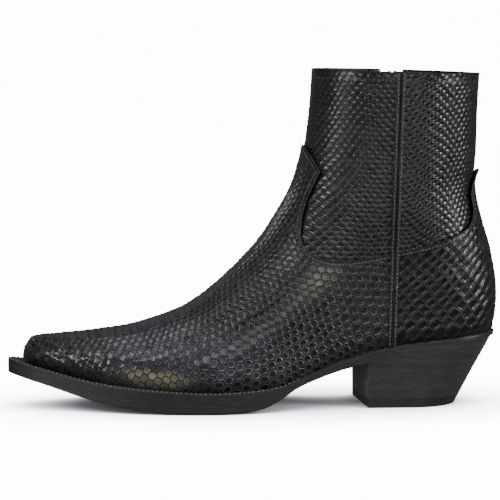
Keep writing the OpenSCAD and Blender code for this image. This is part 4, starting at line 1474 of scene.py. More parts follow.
@dataclass
class Upper:
    """The outer leather, its linings, seams and stitches."""

    form: BootForm
    stitch: Nodes
    scales: Nodes
    slot_width: float = 14.0
    zip_low: float = 52.0
    lap: float = 5.0
    strip_width: float = 5.4
    row_inset: float = 2.3
    rim_row: float = 5.2

    def __post_init__(self) -> None:
        """Works out the lines that the panels are cut to."""
        f = self.form
        self.skin_map = SkinMap(f)
        far = 400.0
        self.foot_area = np.concatenate([[[-far, far]], f.top_line, [[far, -far], [-2 * far, -far]]])
        self.zip_low = (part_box("zip_bottom_stop")[0].z) / MM - 3.5

    def foot_gap(self, p: Array, shift: float = 0.0) -> Array:
        """Distance above the foot's top line: negative on the foot.

        Args:
            p: the points.
            shift: added to each distance.

        Returns:
            The distance of each point.
        """
        flat = p[:, [0, 2]]
        d = path_distance(flat, np.concatenate([[[-400.0, 400.0]], self.form.top_line, [[400.0, -400.0]]]))
        return np.where(inside_polygon(flat, self.foot_area), -d, d) + shift

    def below_rim(self, p: Array) -> Array:
        """Depth of each point below the rim."""
        f = self.form
        return mix(f.rim_height, f.rim_back_z, (p[:, 0] - f.rim_front_x) / f.shaft_depth) - p[:, 2]

    def tongue_top(self) -> float:
        """Height at which the foot's top line meets the ridge."""
        f = self.form
        a = np.linspace(f.ridge_low, f.ridge_high, 1500)
        b = curve(f.ridge_rows, a)
        ridge = np.stack([(a - b) / 2, 0 * a, (a + b) / 2], -1)
        return float(ridge[self.foot_gap(ridge) < 0, 2].max())

    def seam_gap(self, p: Array) -> Array:
        """Distance behind the outer seam, or behind the zip on the inner side."""
        line = np.where(p[:, 1] < 0, self.form.seam_x(p[:, 2]), self.form.zip_x)
        return p[:, 0] - line

    def slot_gap(self, p: Array) -> Array:
        """Distance into the zip's slot: positive inside it."""
        d = np.hypot(p[:, 0] - self.form.zip_x, np.minimum(p[:, 2] - self.zip_low, 0))
        return np.where(p[:, 1] > 0, self.slot_width / 2 - d, -20.0)

    def foot_skin(self, p: Array) -> Array:
        """Lattice coordinates of the scales on the vamp and the counter.

        Args:
            p: the points.

        Returns:
            Lattice coordinates with the metric third.
        """
        along, across = self.skin_map.read(p[:, 0], p[:, 2])
        side = np.where(p[:, 1] < 0, 1.0, -1.0)
        # scales are small over the instep's ridge and the toe, and large near the sole
        toe = ease(1 - (along - 20) / 90)
        row = curve([(0, 0), (15, 5.4), (35, 11.6), (60, 18.0), (90, 24.4), (130, 32.0)], across)
        y = row / 2 * (1 + 0.12 * toe) * side
        x = curve([(0, 0), (40, 6.4), (90, 16.6), (150, 31.6), (210, 47.0), (300, 69.0)], along)
        m = mix(1.55, 0.62, toe)
        x = x + 0.13 * waves(x, y, 3) + 0.1
        y = y + 0.1 * waves(x, y, 4)
        return np.stack([x + 40.25, y + 40.25, m], -1)

    def counter_skin(self, p: Array) -> Array:
        """Lattice coordinates of the scales on the counter: large and pointed below, small above.

        Args:
            p: the points.

        Returns:
            Lattice coordinates with the metric third.
        """
        bend = self.form.heel_x - 37.0
        past = np.maximum(p[:, 0] - bend, 0)
        turn = np.where(past > 0, -33.0 * np.arctan2(past, np.abs(p[:, 1]) + 1e-6), bend - p[:, 0])
        above = p[:, 2] - self.form.seat(p[:, 0])
        y = curve([(0, 0), (15, 1.35), (35, 3.6), (60, 7.2), (90, 12.4)], above)
        x = turn / 8.2 + 0.02 * above
        m = curve([(0, 1.3), (30, 1.05), (60, 0.8), (90, 0.7)], above)
        x = x + 0.16 * waves(x, y, 7)
        y = y + 0.13 * waves(x, y, 8)
        return np.stack([x + 80.0, y + 20.0, m], -1)

    def shaft_skin(self, p: Array) -> Array:
        """Lattice coordinates of the scales on the shaft: small diamonds.

        Args:
            p: the points.

        Returns:
            Lattice coordinates with the metric third.
        """
        f = self.form
        mid_x = (f.rim_front_x + f.rim_back_x) / 2
        angle = np.arctan2(-p[:, 1] / (f.shaft_width / 2), -(p[:, 0] - mid_x) / (f.shaft_depth / 2))
        around = angle * (f.shaft_depth + f.shaft_width) / 4
        back = ease((np.abs(around) - 75) / 30)
        x = around / 4.5 + 0.012 * (p[:, 2] - 150)
        y = p[:, 2] / 5.9 - 0.02 * np.abs(around) * back
        x = x + 0.13 * waves(x, y, 5)
        y = y + 0.11 * waves(x, y, 6)
        return np.stack([x + 60.0, y + 60.0, np.full_like(x, 1.25)], -1)

    def foot_tint_and_sheen(self, p: Array) -> Array:
        """Shares of painted purple reflection, of yellow-green that is partly painted highlight, and of painted pale
        rim glints over the foot.

        Args:
            p: the points.

        Returns:
            The three shares at each point.
        """
        x, z = p[:, 0], p[:, 2]
        above = z - self.form.seat(x)
        # painted highlight: the outer side, which faces the lamps, takes the full shares and the inner side less
        outer = np.where(p[:, 1] < 0, 1.0, 0.8)
        # painted reflection: purple light reflected on the mid vamp
        violet_reflection = 0.75 * bump_at(x, -45, 75) * bump_at(above, 24, 22)
        # yellow-green on the low toe and at one spot higher up: partly the skin's own colour, partly painted
        # highlight
        olive_and_highlight = 1.0 * bump_at(x, -66, 36) * bump_at(above, 8, 9)
        olive_and_highlight = np.maximum(olive_and_highlight, 0.3 * bump_at(x, 38, 26) * bump_at(above, 57, 14))
        # painted highlight: pale glints on the scales' rims, in front of the side seam and at one spot on the counter
        front = ease((self.form.seam_x(z) - x) / 2)
        pale = front * (0.25 + 0.5 * bump_at(x, 0, 60) * bump_at(above, 16, 26))
        pale = np.maximum(pale, 0.3 * bump_at(x, 112, 36) * bump_at(above, 44, 20))
        return np.stack([violet_reflection * outer, olive_and_highlight * outer, pale * outer], -1)

    def shaft_tint_and_sheen(self, p: Array) -> Array:
        """Shares of painted purple reflection, of yellow-green that is partly painted highlight, and of painted pale
        rim glints over the shaft.

        Args:
            p: the points.

        Returns:
            The three shares at each point.
        """
        x, z = p[:, 0], p[:, 2]
        # a little yellow-green that is partly painted highlight, and painted glints on the scales' rims, heavier at
        # one spot
        olive_and_highlight = 0.07 * bump_at(x, 60, 34) * bump_at(z, 165, 60)
        pale = 0.14 + 0.12 * bump_at(x, 70, 50) * bump_at(z, 130, 60)
        return np.stack([0 * x, olive_and_highlight, pale], -1)

    def build(self) -> None:
        """Builds every piece of the upper."""
        self.make_panels()
        self.make_linings()
        self.make_strips()
        self.make_stitches()

    def make_panels(self) -> None:
        """The four panels of scaled leather."""
        f = self.form

        tongue = self.tongue_top() - 1.6

        def vamp(p: Array) -> Array:
            """Below zero on the vamp."""
            return np.maximum.reduce([self.foot_gap(p), self.seam_gap(p) + 0.05, self.slot_gap(p), p[:, 2] - tongue])

        def counter(p: Array) -> Array:
            """Below zero on the counter."""
            return np.maximum.reduce([self.foot_gap(p), 0.05 - self.seam_gap(p), self.slot_gap(p)])

        def front(p: Array) -> Array:
            """Below zero on the front of the leg."""
            return np.maximum.reduce([-self.foot_gap(p) - self.lap, self.seam_gap(p) + 0.05, self.slot_gap(p)])

        def back(p: Array) -> Array:
            """Below zero on the back of the leg."""
            return np.maximum.reduce([-self.foot_gap(p) - self.lap, 0.05 - self.seam_gap(p), self.slot_gap(p)])

        def foot_rows(p: Array) -> Array:
            """Distance to the sewn rows on the foot, and to the smooth band low on the toe.

            Args:
                p: the points.

            Returns:
                The distance of each point.
            """
            rows = np.minimum(np.abs(self.foot_gap(p) + self.row_inset), np.abs(self.slot_gap(p) + 1.8))
            low = 0.16 * (p[:, 2] - f.seat(p[:, 0])) + 9 * ease((p[:, 0] - f.fore(0.6)) / 25)
            return np.minimum(rows, low)

        def leg_rows(p: Array) -> Array:
            """Distance to the sewn rows on the leg."""
            under = self.below_rim(p) - self.rim_row
            return np.minimum(np.where(under < 0, np.minimum(-under, 0.55), under), np.abs(self.slot_gap(p) + 1.8))

        Panel(f, "vamp_skin", ("vamp",), 0.0, f.leather, (-2.3, 2.3), (0.0, 0.95), 480, 290, vamp,
              skin=self.foot_skin, tint_and_sheen=self.foot_tint_and_sheen, pressed=foot_rows, skive=0.85).make(
                  self.scales, Height=0.00032, Lift=0.0002, Uneven=0.00006, Round=0.34)
        Panel(f, "counter_skin", ("heel_counter",), 0.0, f.leather, (1.75, 2 * math.pi - 1.75), (0.0, 0.85), 320, 220,
              counter, skin=self.counter_skin, tint_and_sheen=self.foot_tint_and_sheen, pressed=foot_rows, skive=0.85).make(
                  self.scales, Height=0.00045, Lift=-0.0005, Droop=-0.0005, Uneven=0.0002, Round=0.3)
        Panel(f, "shaft_front_skin", ("shaft_front",), f.shaft_level, f.leather, (-2.1, 2.1), (0.28, 1.0), 390, 240,
              front, skin=self.shaft_skin, tint_and_sheen=self.shaft_tint_and_sheen, pressed=leg_rows).make(
                  self.scales, Height=0.00034, Lift=0.0002, Droop=-0.0002, Uneven=0.0001, Round=0.5)
        Panel(f, "shaft_back_skin", ("shaft_back",), f.shaft_level, f.leather, (1.4, 2 * math.pi - 1.4), (0.3, 1.0),
              350, 240, back, skin=self.shaft_skin, tint_and_sheen=self.shaft_tint_and_sheen, pressed=leg_rows).make(
                  self.scales, Height=0.00034, Lift=-0.0002, Droop=-0.0002, Uneven=0.0001, Round=0.5)

    def make_linings(self) -> None:
        """The smooth linings inside the leg and the foot, seen from within."""
        f = self.form
        hidden = self.slot_width + 15.1

        def shaft(p: Array) -> Array:
            """Below zero on the lining, which ends beside the zip."""
            d = np.hypot(p[:, 0] - f.zip_x, np.minimum(p[:, 2] - self.zip_low, 0))
            return np.where(p[:, 1] > 0, hidden / 2 - d, -20.0)

        piece = Panel(f, "leg_lining", ("shaft_lining", "vamp_lining", "heel_grip"), f.lining_level + f.lining,
                      -f.lining, (-math.pi, math.pi), (0.0, 1.0), 260, 150, shaft, finish=Finish.LINING,
                      edge_finish=Finish.LINING)
        obj = piece.make()
        obj.data.flip_normals()

    def _band(self, name: str, side: float, heights: tuple[float, float], depth: float, stands_for: tuple,
              centre: Callable[[Array], Array], width: float) -> Piece:
        """Raised leather strip that follows a seam.

        Args:
            name: the strip's name.
            side: outer or inner side.
            heights: its lowest and highest z.
            depth: depth of the leather it lies on.
            stands_for: the CAD nodes it replaces.
            centre: x of its middle at each height.
            width: its width.

        Returns:
            The finished strip.
        """
        f = self.form
        z = np.linspace(heights[0], heights[1], max(int((heights[1] - heights[0]) / 1.2), 4))
        share = np.array([0.06, 0.2, 0.5, 0.8, 0.93, 1.0, 1.0])
        across = np.concatenate([-share[::-1], [0], share]) * width / 2
        half = np.array([0.72, 0.95, 1.0, 0.96, 0.84, 0.6, -0.75])
        rise = np.concatenate([half[::-1], [0.5], half])
        rows = []
        for k in range(len(across)):
            x = centre(z) + across[k]
            p = f.side_point(x, z, side, depth)
            n = f.side_normal(x, z, side, depth)
            rows.append(p + n * rise[k])
        points = np.stack(rows, 1).reshape(-1, 3)
        m = len(across)
        faces = []
        for i in range(len(z) - 1):
            for j in range(m - 1):
                quad = [i * m + j, i * m + j + 1, (i + 1) * m + j + 1, (i + 1) * m + j]
                faces.append(quad if side < 0 else quad[::-1])
        for i, flip in ((0, True), (len(z) - 1, False)):
            ring = [i * m + j for j in range(m)]
            if flip == (side < 0):
                ring = ring[::-1]
            faces.append(ring)
        obj = new_piece(name, points, faces, Finish.PLAIN)
        settle(obj, "boot", Finish.PLAIN, *stands_for)
        sharpen(obj, 50)
        return obj

    def make_strips(self) -> None:
        """The strips over the outer seam and under the zip's end."""
        f = self.form
        seam_cross = float(np.interp(f.seam_top - 2.8, f.top_line[12:, 0], f.top_line[12:, 1]))
        low = float(f.seat(f.seam_top - 4)) + 0.4
        self._band("seam_strip_low", OUTER, (low, seam_cross - 0.3), 0.0, ("side_strip",), f.seam_x, self.strip_width)
        rim = mix(f.rim_height, f.rim_back_z, SEAM_SHARE) - 0.2
        self._band("seam_strip_high", OUTER, (seam_cross - 3.0, rim), f.shaft_level, (), f.seam_x, self.strip_width)
        end_low = float(f.seat(f.zip_x)) + 0.3
        self._band("zip_end_patch", INNER, (end_low, self.zip_low - self.slot_width / 2 - 1), 0.0,
                   ("zip_end_strip",), lambda z: np.full_like(z, f.zip_x), self.strip_width)
        self.seam_cross = seam_cross

    def _side_row(self, name: str, x: Array, z: Array, side: float, depth: float, lift: float,
                  pitch: float = 2.6) -> None:
        """Sewn row over points of the side view.

        Args:
            name: the row's name.
            x: x of each point.
            z: z of each point.
            side: outer or inner side.
            depth: depth of the leather it is sewn on.
            lift: how far it stands off the leather.
            pitch: length of a stitch.
        """
        flat = resample(np.stack([x, z], -1), 1.5)
        p = self.form.side_point(flat[:, 0], flat[:, 1], side, depth)
        n = self.form.side_normal(flat[:, 0], flat[:, 1], side, depth)
        sew(self.stitch, name, p + n * lift, n, pitch)

    def make_stitches(self) -> None:
        """Rows along the foot's top line, the seam strips, the rim and the zip's slot."""
        f = self.form
        line = resample(f.top_line, 1.0)
        step = np.gradient(line, axis=0)
        step /= np.linalg.norm(step, axis=1, keepdims=True)
        inner = line + np.stack([step[:, 1], -step[:, 0]], -1) * self.row_inset
        for label, side in (("outer", OUTER), ("inner", INNER)):
            half = f.half_width(inner[:, 0], inner[:, 1], np.full(len(inner), side), 0.0)
            ok = half > 6
            if side > 0:
                ok &= np.abs(inner[:, 0] - f.zip_x) > self.slot_width / 2 + 1.5
            runs = np.split(np.arange(len(inner)), np.where(np.diff(ok.astype(int)) != 0)[0] + 1)
            for k, run in enumerate(r for r in runs if ok[r[0]] and len(r) > 5):
                self._side_row(f"topline_stitches_{label}_{k}", inner[run, 0], inner[run, 1], side, 0.0, 0.2, 2.4)
        for label, shift in (("front", -1.6), ("back", 1.6)):
            z = np.linspace(float(f.seat(f.seam_top)) + 2, self.seam_cross - 1, 40)
            self._side_row(f"seam_stitches_low_{label}", f.seam_x(z) + shift, z, OUTER, 0.0, 1.1, 2.4)
            z = np.linspace(self.seam_cross + 1, f.rim_height - 3, 60)
            self._side_row(f"seam_stitches_high_{label}", f.seam_x(z) + shift, z, OUTER, f.shaft_level, 1.1, 2.4)
        # the rim's row, all round but for the slot and the strip
        turn = np.linspace(-math.pi, math.pi, 500)
        low, high = np.full_like(turn, 0.85), np.ones_like(turn)
        for _ in range(24):
            s = (low + high) / 2
            p = f.point(s, turn, f.shaft_level)
            under = self.below_rim(p) > self.rim_row
            low, high = np.where(under, s, low), np.where(under, high, s)
        n = f.wall_normal(s, turn, f.shaft_level)
        ok = (np.abs(p[:, 0] - f.zip_x) > self.slot_width / 2 + 1.5) | (p[:, 1] < 0)
        ok &= (np.abs(p[:, 0] - f.seam_x(p[:, 2])) > self.strip_width / 2 + 0.6) | (p[:, 1] > 0)
        runs = np.split(np.arange(len(p)), np.where(np.diff(ok.astype(int)) != 0)[0] + 1)
        for k, run in enumerate(r for r in runs if ok[r[0]]):
            sew(self.stitch, f"rim_stitches_{k}", p[run] + n[run] * 0.3, n[run], 2.6)
        half = self.slot_width / 2 + 1.8
        for label, side in (("front", -1), ("back", 1)):
            z = np.linspace(f.rim_height - 7, self.seam_cross + 4, 60)
            self._side_row(f"zip_stitches_high_{label}", np.full_like(z, f.zip_x + side * half), z, INNER,
                           f.shaft_level, 0.2)
        z = np.linspace(self.seam_cross - 3, self.zip_low, 40)
        a = np.linspace(0, math.pi, 30)[1:-1]
        x = np.concatenate([np.full_like(z, f.zip_x - half), f.zip_x - half * np.cos(a),
                            np.full_like(z, f.zip_x + half)])
        zz = np.concatenate([z, np.maximum(self.zip_low - half * np.sin(a), f.seat(f.zip_x) + 2), z[::-1]])
        self._side_row("zip_stitches_low", x, zz, INNER, 0.0, 0.2)


# ---------------------------------------------------------------- the sole and heel
@dataclass
class SoleLayer:
    """One layer of the sole: a plan outline between two curved faces, with a softened edge."""

    form: BootForm
    name: str
    stands_for: tuple[str, ...]
    low: Callable[[Array], Array]
    high: Callable[[Array], Array]
    outline: Callable[[float], Array]
    finish: Finish
    soft_low: float = 0.02
    soft_high: float = 0.02
    across: int = 10

    def make(self) -> Piece:
        """Builds the layer."""
        lo, hi = self.soft_low, self.soft_high
        rings = [(lo, "low", 0.0), (lo * 0.3, "low", lo * 0.3), (0.0, "low", lo), (0.0, "mid", 0.0),
                 (0.0, "high", hi), (hi * 0.3, "high", hi * 0.3), (hi, "high", 0.0)]
        points = []
        for inset, kind, height in rings:
            xy = self.outline(inset)
            lo, hi = self.low(xy[:, 0]), self.high(xy[:, 0])
            h = np.minimum(height, (hi - lo) * 0.4)
            z = {"low": lo + h, "high": hi - h, "mid": (lo + hi) / 2}[kind]
            points.append(np.column_stack([xy, z]))
        n = len(points[0])
        ring_count = len(rings)
        faces = []
        for r in range(ring_count - 1):
            for k in range(n):
                k2 = (k + 1) % n
                faces.append((r * n + k, r * n + k2, (r + 1) * n + k2, (r + 1) * n + k))
        all_points = [np.concatenate(points)]
        offset = ring_count * n
        for r, height_of, flip in ((0, self.low, True), (ring_count - 1, self.high, False)):
            faces_cap, extra = self._cap(points[r], r * n, offset, height_of, flip)
            faces += faces_cap
            all_points.append(extra)
            offset += len(extra)
        verts = np.concatenate(all_points)
        obj = new_piece(self.name, verts, faces, self.finish)
        level = (verts[:, 2] - self.form.seat(verts[:, 0])) * MM if self.finish is Finish.EDGE else verts[:, 2] * MM
        add_attribute(obj, "level", "FLOAT", level)
        settle(obj, "boot", self.finish, *self.stands_for)
        sharpen(obj, 12)
        return obj

    def _cap(self, ring: Array, start: int, offset: int, height_of: Callable, flip: bool) -> tuple[list, Array]:
        """Closes a ring with rows between its two sides.

        Args:
            ring: the ring's points.
            start: number of its first point.
            offset: number of the first new point.
            height_of: height of the face at an x.
            flip: True for a face that looks down.

        Returns:
            The new faces and the new points.
        """
        n = len(ring)
        half = n // 2
        extra, faces = [], []
        rows = []
        for k in range(1, half):
            a, b = ring[k], ring[n - k]
            inner = []
            for j in range(1, self.across):
                t = j / self.across
                x, y = mix(a[0], b[0], t), mix(a[1], b[1], t)
                inner.append(offset + len(extra))
                extra.append((x, y, float(height_of(np.array([x]))[0])))
            rows.append([start + k] + inner + [start + n - k])
        for r0, r1 in zip(rows[:-1], rows[1:]):
            for j in range(len(r0) - 1):
                faces.append((r0[j], r1[j], r1[j + 1], r0[j + 1]))
        first, last = rows[0], rows[-1]
        faces.append([start] + first)
        faces.append([start + half] + last[::-1])
        if flip:
            faces = [tuple(f[::-1]) for f in faces]
        return faces, np.array(extra)


@dataclass
class Bottom:
    """Welt, rand, midsole, outsole and heel."""

    form: BootForm
    stitch: Nodes
    steps: int = 150
    lift_height: float = 5.0
    top_lift: float = 6.0
    nail_stand: float = 0.12

    def build(self) -> None:
        """Builds the layers, the heel and the welt's stitches."""
        f = self.form
        seam = 0.02

        def depth_below(amount: float) -> Callable[[Array], Array]:
            """Surface at a depth below the seat."""
            return lambda x: f.seat(x) - amount

        def outsole_top(x: Array) -> Array:
            """Height of the outsole's upper face."""
            return f.seat(x) - np.maximum(f.sole_depth(x) - f.outsole, f.welt) - seam

        def bottom(x: Array) -> Array:
            """Height of the outsole's lower face."""
            return f.seat(x) - f.sole_depth(x)

        def sole_outline(inset: float) -> Array:
            """The sole's plan outline, drawn in by the inset."""
            return f.outline(inset, self.steps)

        SoleLayer(f, "welt_and_rand", ("welt", "heel_rand", "cork_filler"), depth_below(f.welt), f.seat, sole_outline,
                  Finish.EDGE, soft_high=0.35).make()
        mid_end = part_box("midsole")[1].x / MM
        SoleLayer(f, "midsole_edge", ("midsole",), lambda x: outsole_top(x) + seam * 2,
                  lambda x: np.maximum(f.seat(x) - f.welt - seam, outsole_top(x) + seam * 2 + 0.02),
                  lambda inset: self._short(sole_outline(inset), mid_end), Finish.EDGE).make()
        SoleLayer(f, "outsole_edge", ("outsole",), bottom, outsole_top,
                  lambda inset: self._short(sole_outline(inset), f.breast_x + 3), Finish.EDGE, soft_low=0.4).make()
        self.heel()
        self.welt_stitches()

    def _short(self, xy: Array, end: float) -> Array:
        """Outline that stops at an X, with its points spread over what is left.

        Args:
            xy: the whole outline.
            end: x at which it stops.

        Returns:
            The shortened outline.
        """
        half = len(xy) // 2
        outer, inner = xy[: half + 1], np.concatenate([xy[half:], xy[:1]])[::-1]
        out = []
        for side in (outer, inner):
            keep = side[side[:, 0] < end]
            y_end = np.interp(end, side[:, 0], side[:, 1])
            path = np.concatenate([keep, [[end, y_end]]])
            at = np.linspace(0, len(path) - 1, half)
            out.append(np.stack([np.interp(at, np.arange(len(path)), path[:, k]) for k in range(2)], -1))
        middle = np.array([[end, 0.0]])
        return np.concatenate([out[0], middle, out[1][:0:-1]])

    def heel(self) -> None:
        """The stacked heel, lift by lift, with the wedge and the rubber top lift."""
        f = self.form
        levels = [("rubber_top_lift", ("top_lift",), self.nail_stand, self.top_lift, Finish.RUBBER)]
        z = self.top_lift
        for i in range(1, 5):
            levels.append((f"heel_lift_face_{i}", (f"heel_lift_{i}",), z, z + self.lift_height, Finish.STACK))
            z += self.lift_height
        for name, nodes, low, high, finish in levels:
            self._slab(name, nodes, lambda x, v=low: np.full_like(x, v), lambda x, v=high: np.full_like(x, v),
                       low, high, finish)
        self._slab("heel_wedge_face", ("heel_wedge",), lambda x: np.full_like(x, z),
                   lambda x: f.seat(x) - f.welt - 0.05, z, f.seat_height - f.welt, Finish.STACK)

    def _slab(self, name: str, nodes: tuple, low: Callable, high: Callable, z0: float, z1: float,
              finish: Finish) -> None:
        """One lift: a tapered slab with crisp, slightly softened edges.

        Args:
            name: the lift's name.
            nodes: the CAD nodes it replaces.
            low: height of its lower face at an x.
            high: height of its upper face at an x.
            z0: level its taper starts from.
            z1: level its taper ends at.
            finish: what it is dressed in.
        """
        f = self.form
        steps = 60
        foot = 0.25 if z0 < 1 else 0.0
        rings = []
        for t, inset in ((0.0, foot), (0.05, 0.0), (0.5, 0.0), (1.0, 0.0)):
            xy = f.heel_outline(mix(z0, z1, t), steps, inset)
            lo, hi = low(xy[:, 0]), high(xy[:, 0])
            rings.append(np.column_stack([xy, mix(lo, hi, t)]))
        n = len(rings[0])
        faces = []
        for r in range(len(rings) - 1):
            for k in range(n):
                k2 = (k + 1) % n
                faces.append((r * n + k, r * n + k2, (r + 1) * n + k2, (r + 1) * n + k))
        half = n // 2
        for start, flip in ((0, True), ((len(rings) - 1) * n, False)):
            for k in range(half - 1):
                a, b, c, d = start + k, start + k + 1, start + n - 2 - k, start + n - 1 - k
                quad = (a, b, c, d)
                faces.append(quad[::-1] if flip else quad)
            tip = (start + half - 1, start + half, start + half + 1)
            faces.append(tip[::-1] if flip else tip)
        points = np.concatenate(rings)
        obj = new_piece(name, points, faces, finish)
        add_attribute(obj, "level", "FLOAT", points[:, 2] * MM)
        settle(obj, "boot", finish, *nodes)
        sharpen(obj, 30)

    def welt_stitches(self) -> None:
        """The sewn row on the welt's upper face, from the waist round the toe."""
        f = self.form
        line = f.outline(2.2, 400)
        order = np.concatenate([np.arange(400, len(line)), np.arange(0, 401)])
        line = line[order]
        line = line[line[:, 0] < f.aft(0.3)]
        p = np.column_stack([line, f.seat(line[:, 0]) + 0.18])
        p = resample(p, 1.5)
        n = np.tile([0.0, 0.0, 1.0], (len(p), 1))
        sew(self.stitch, "welt_stitches", p, n, 3.0, 0.9)


# ---------------------------------------------------------------- the zip
@dataclass
class Zip:
    """Teeth, slider and pull of the side zip; its tapes and stops are the frame's own nodes."""

    form: BootForm
    teeth: Nodes
    chain_half: float = 2.8
    bite: float = 0.9
    pitch: float = 2.9

    def __post_init__(self) -> None:
        """Finds the chain's line from the frame."""
        slide = next(j for j in frame["joints"] if j["name"] == "zip_slide")
        hinge = next(j for j in frame["joints"] if j["name"] == "pull_hinge")
        self.down = np.array(slide["axis"], float)
        self.tilt = math.atan2(-self.down[1], -self.down[2])
        self.pivot = np.array(hinge["pos_m"], float) / MM
        self.out = np.array([0, math.cos(self.tilt), -math.sin(self.tilt)])

    def place(self, points: Array) -> Array:
        """Turns points from (x, out, up) about the pivot into the boot's frame."""
        p = np.asarray(points, float)
        return self.pivot + p[:, :1] * [1, 0, 0] + p[:, 1:2] * self.out - p[:, 2:3] * self.down

    def part(self, name: str, shapes: Iterable[tuple[Array, list]], body: str, finish: Finish,
             *nodes: str) -> Piece:
        """One piece made of several shapes in (x, out, up) from the pivot.

        Args:
            name: the piece's name.
            shapes: points and faces of each shape.
            body: the body it rides on.
            finish: what it is dressed in.
            nodes: the CAD nodes it replaces.

        Returns:
            The finished piece.
        """
        points, faces, base = [], [], 0
        for p, f in shapes:
            points.append(p)
            faces += [[base + i for i in ring] for ring in f]
            base += len(p)
        obj = new_piece(name, self.place(np.concatenate(points)), faces, finish)
        fix_normals(obj)
        settle(obj, body, finish, *nodes)
        sharpen(obj, 50)
        return obj

    def build(self) -> None:
        """Builds the zip."""
        chain_y = -3.2
        self.make_teeth(chain_y)
        # slider: pivot at the middle of its length
        top, low, half = 5.5, -5.5, 4.2
        plate = 1.3
        shapes = [soft_box((-half, chain_y + plate, low), (half, chain_y + plate + 0.9, top), 0.3),
                  soft_box((-half, chain_y - plate - 0.9, low), (half, chain_y - plate, top), 0.3)]
        for s in (-1, 1):
            shapes.append(soft_box((s * half - 0.6 - s * 0.6, chain_y + 0.6, low),
                                   (s * half + 0.6 - s * 0.6, chain_y + plate + 0.4, top - 4.6), 0.2))
        shapes.append(soft_box((-0.5, -1.2, low + 0.8), (0.5, 2.0, low + 2.2), 0.2))
        shapes.append(soft_box((-0.5, -1.2, top - 2.2), (0.5, 2.0, top - 0.8), 0.2))
        shapes.append(soft_box((-0.5, 1.0, low + 0.8), (0.5, 2.0, top - 0.8), 0.25))
        self.part("zip_slider_body", shapes, "slider", Finish.ZIP_METAL, "zip_slider")
        self.make_pull()

    def make_teeth(self, chain_y: float) -> None:
        """The two rows of teeth, each on its cord.

        Args:
            chain_y: how far out the chain's middle lies from the pivot.
        """
        for name, node, side, shift in (("front_teeth", "zip_teeth_front", 1.0, 0.0),
                                        ("back_teeth", "zip_teeth_back", -1.0, self.pitch / 2)):
            low, high = [np.array(c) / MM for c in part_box(node)]
            top = high[2] - self.pivot[2] - self.pitch / 2 - shift
            bottom = low[2] - self.pivot[2] + self.pitch / 2
            reach = self.chain_half + self.bite
            x = side * (self.bite - reach / 2)
            line = self.place(np.array([[x, chain_y, top], [x, chain_y, bottom]]))
            mesh = bpy.data.meshes.new(name)
            mesh.from_pydata((line * MM).tolist(), [(0, 1)], [])
            obj = put_in_scene(name, mesh)
            self.teeth.put_on(obj, Finish=Finish.ZIP_METAL.material(), Pitch=self.pitch * MM, Reach=reach * MM,
                              Height=(self.pitch / 2 - 0.08) * MM, Thick=2.1 * MM, Side=side, Tilt=-self.tilt)
            settle(obj, "boot", Finish.ZIP_METAL, node)

    def make_pull(self) -> None:
        """The flat tab, hanging straight down."""
        length, width, thick, eye = 18.0, 5.0, 1.0, 2.6
        steps = 20
        a = np.linspace(0, math.pi, steps)
        tail = np.stack([-width / 2 * np.cos(a), -(length - width / 2) - width / 2 * np.sin(a)], -1)
        shoulder = 0.5
        outer = np.concatenate([[[-width / 2, shoulder - 0.9], [-width / 2 + 0.9, shoulder]],
                                [[width / 2 - 0.9, shoulder], [width / 2, shoulder - 0.9]], tail[::-1]])
        slot = np.array([[-eye / 2, -0.5], [eye / 2, -0.5], [eye / 2, -8.0], [-eye / 2, -8.0]])
        obj = self._plate("zip_pull_tab", outer, slot, thick)
        fix_normals(obj)
        bevel = obj.modifiers.new("soft", "BEVEL")
        bevel.width = 0.18 * MM
        bevel.segments = 2
        bevel.limit_method = "ANGLE"
        settle(obj, "pull", Finish.ZIP_METAL, "zip_pull")
        sharpen(obj, 50)

    def _plate(self, name: str, outer: Array, hole: Array, thick: float) -> Piece:
        """Flat plate in the XZ plane at the pivot, with a hole, made with bmesh.

        Args:
            name: the piece's name.
            outer: its outline.
            hole: the hole's outline.
            thick: its thickness.

        Returns:
            The new object.
        """
        bm = bmesh.new()
        loops = []
        for ring in (outer, hole):
            verts = [bm.verts.new(((self.pivot[0] + x) * MM, (self.pivot[1] - thick / 2) * MM,
                                   (self.pivot[2] + z) * MM)) for x, z in ring]
            loops += [bm.edges.new((a, b)) for a, b in zip(verts, verts[1:] + verts[:1])]
        filled = bmesh.ops.triangle_fill(bm, use_beauty=True, use_dissolve=True, edges=loops)
        faces = [g for g in filled["geom"] if isinstance(g, bmesh.types.BMFace)]
        grown = bmesh.ops.extrude_face_region(bm, geom=faces)
        moved = [g for g in grown["geom"] if isinstance(g, bmesh.types.BMVert)]
        bmesh.ops.translate(bm, verts=moved, vec=(0, thick * MM, 0))
        mesh = bpy.data.meshes.new(name)
        bm.to_mesh(mesh)
        bm.free()
        obj = put_in_scene(name, mesh)
        mesh.materials.append(Finish.ZIP_METAL.material())
        return obj


# ---------------------------------------------------------------- carried-over nodes and studio
CARRIED = {
    "toe_puff": Finish.BOARD, "vamp_backing": Finish.LINING, "heel_stiffener": Finish.BOARD,
    "insole_board": Finish.BOARD, "footbed": Finish.LINING, "shank": Finish.STEEL, "heel_nails": Finish.STEEL,
    "zip_tape_front": Finish.TAPE, "zip_tape_back": Finish.TAPE, "zip_top_stops": Finish.ZIP_METAL,
    "zip_bottom_stop": Finish.ZIP_METAL, "zip_guard": Finish.LINING, "top_lift_nails": Finish.BRASS}


def dress_carried() -> None:
    """Gives every CAD node that stays its finish."""
    for name, finish in CARRIED.items():
        node = frame["nodes"][name]
        node.data.materials.clear()
        node.data.materials.append(finish.material())


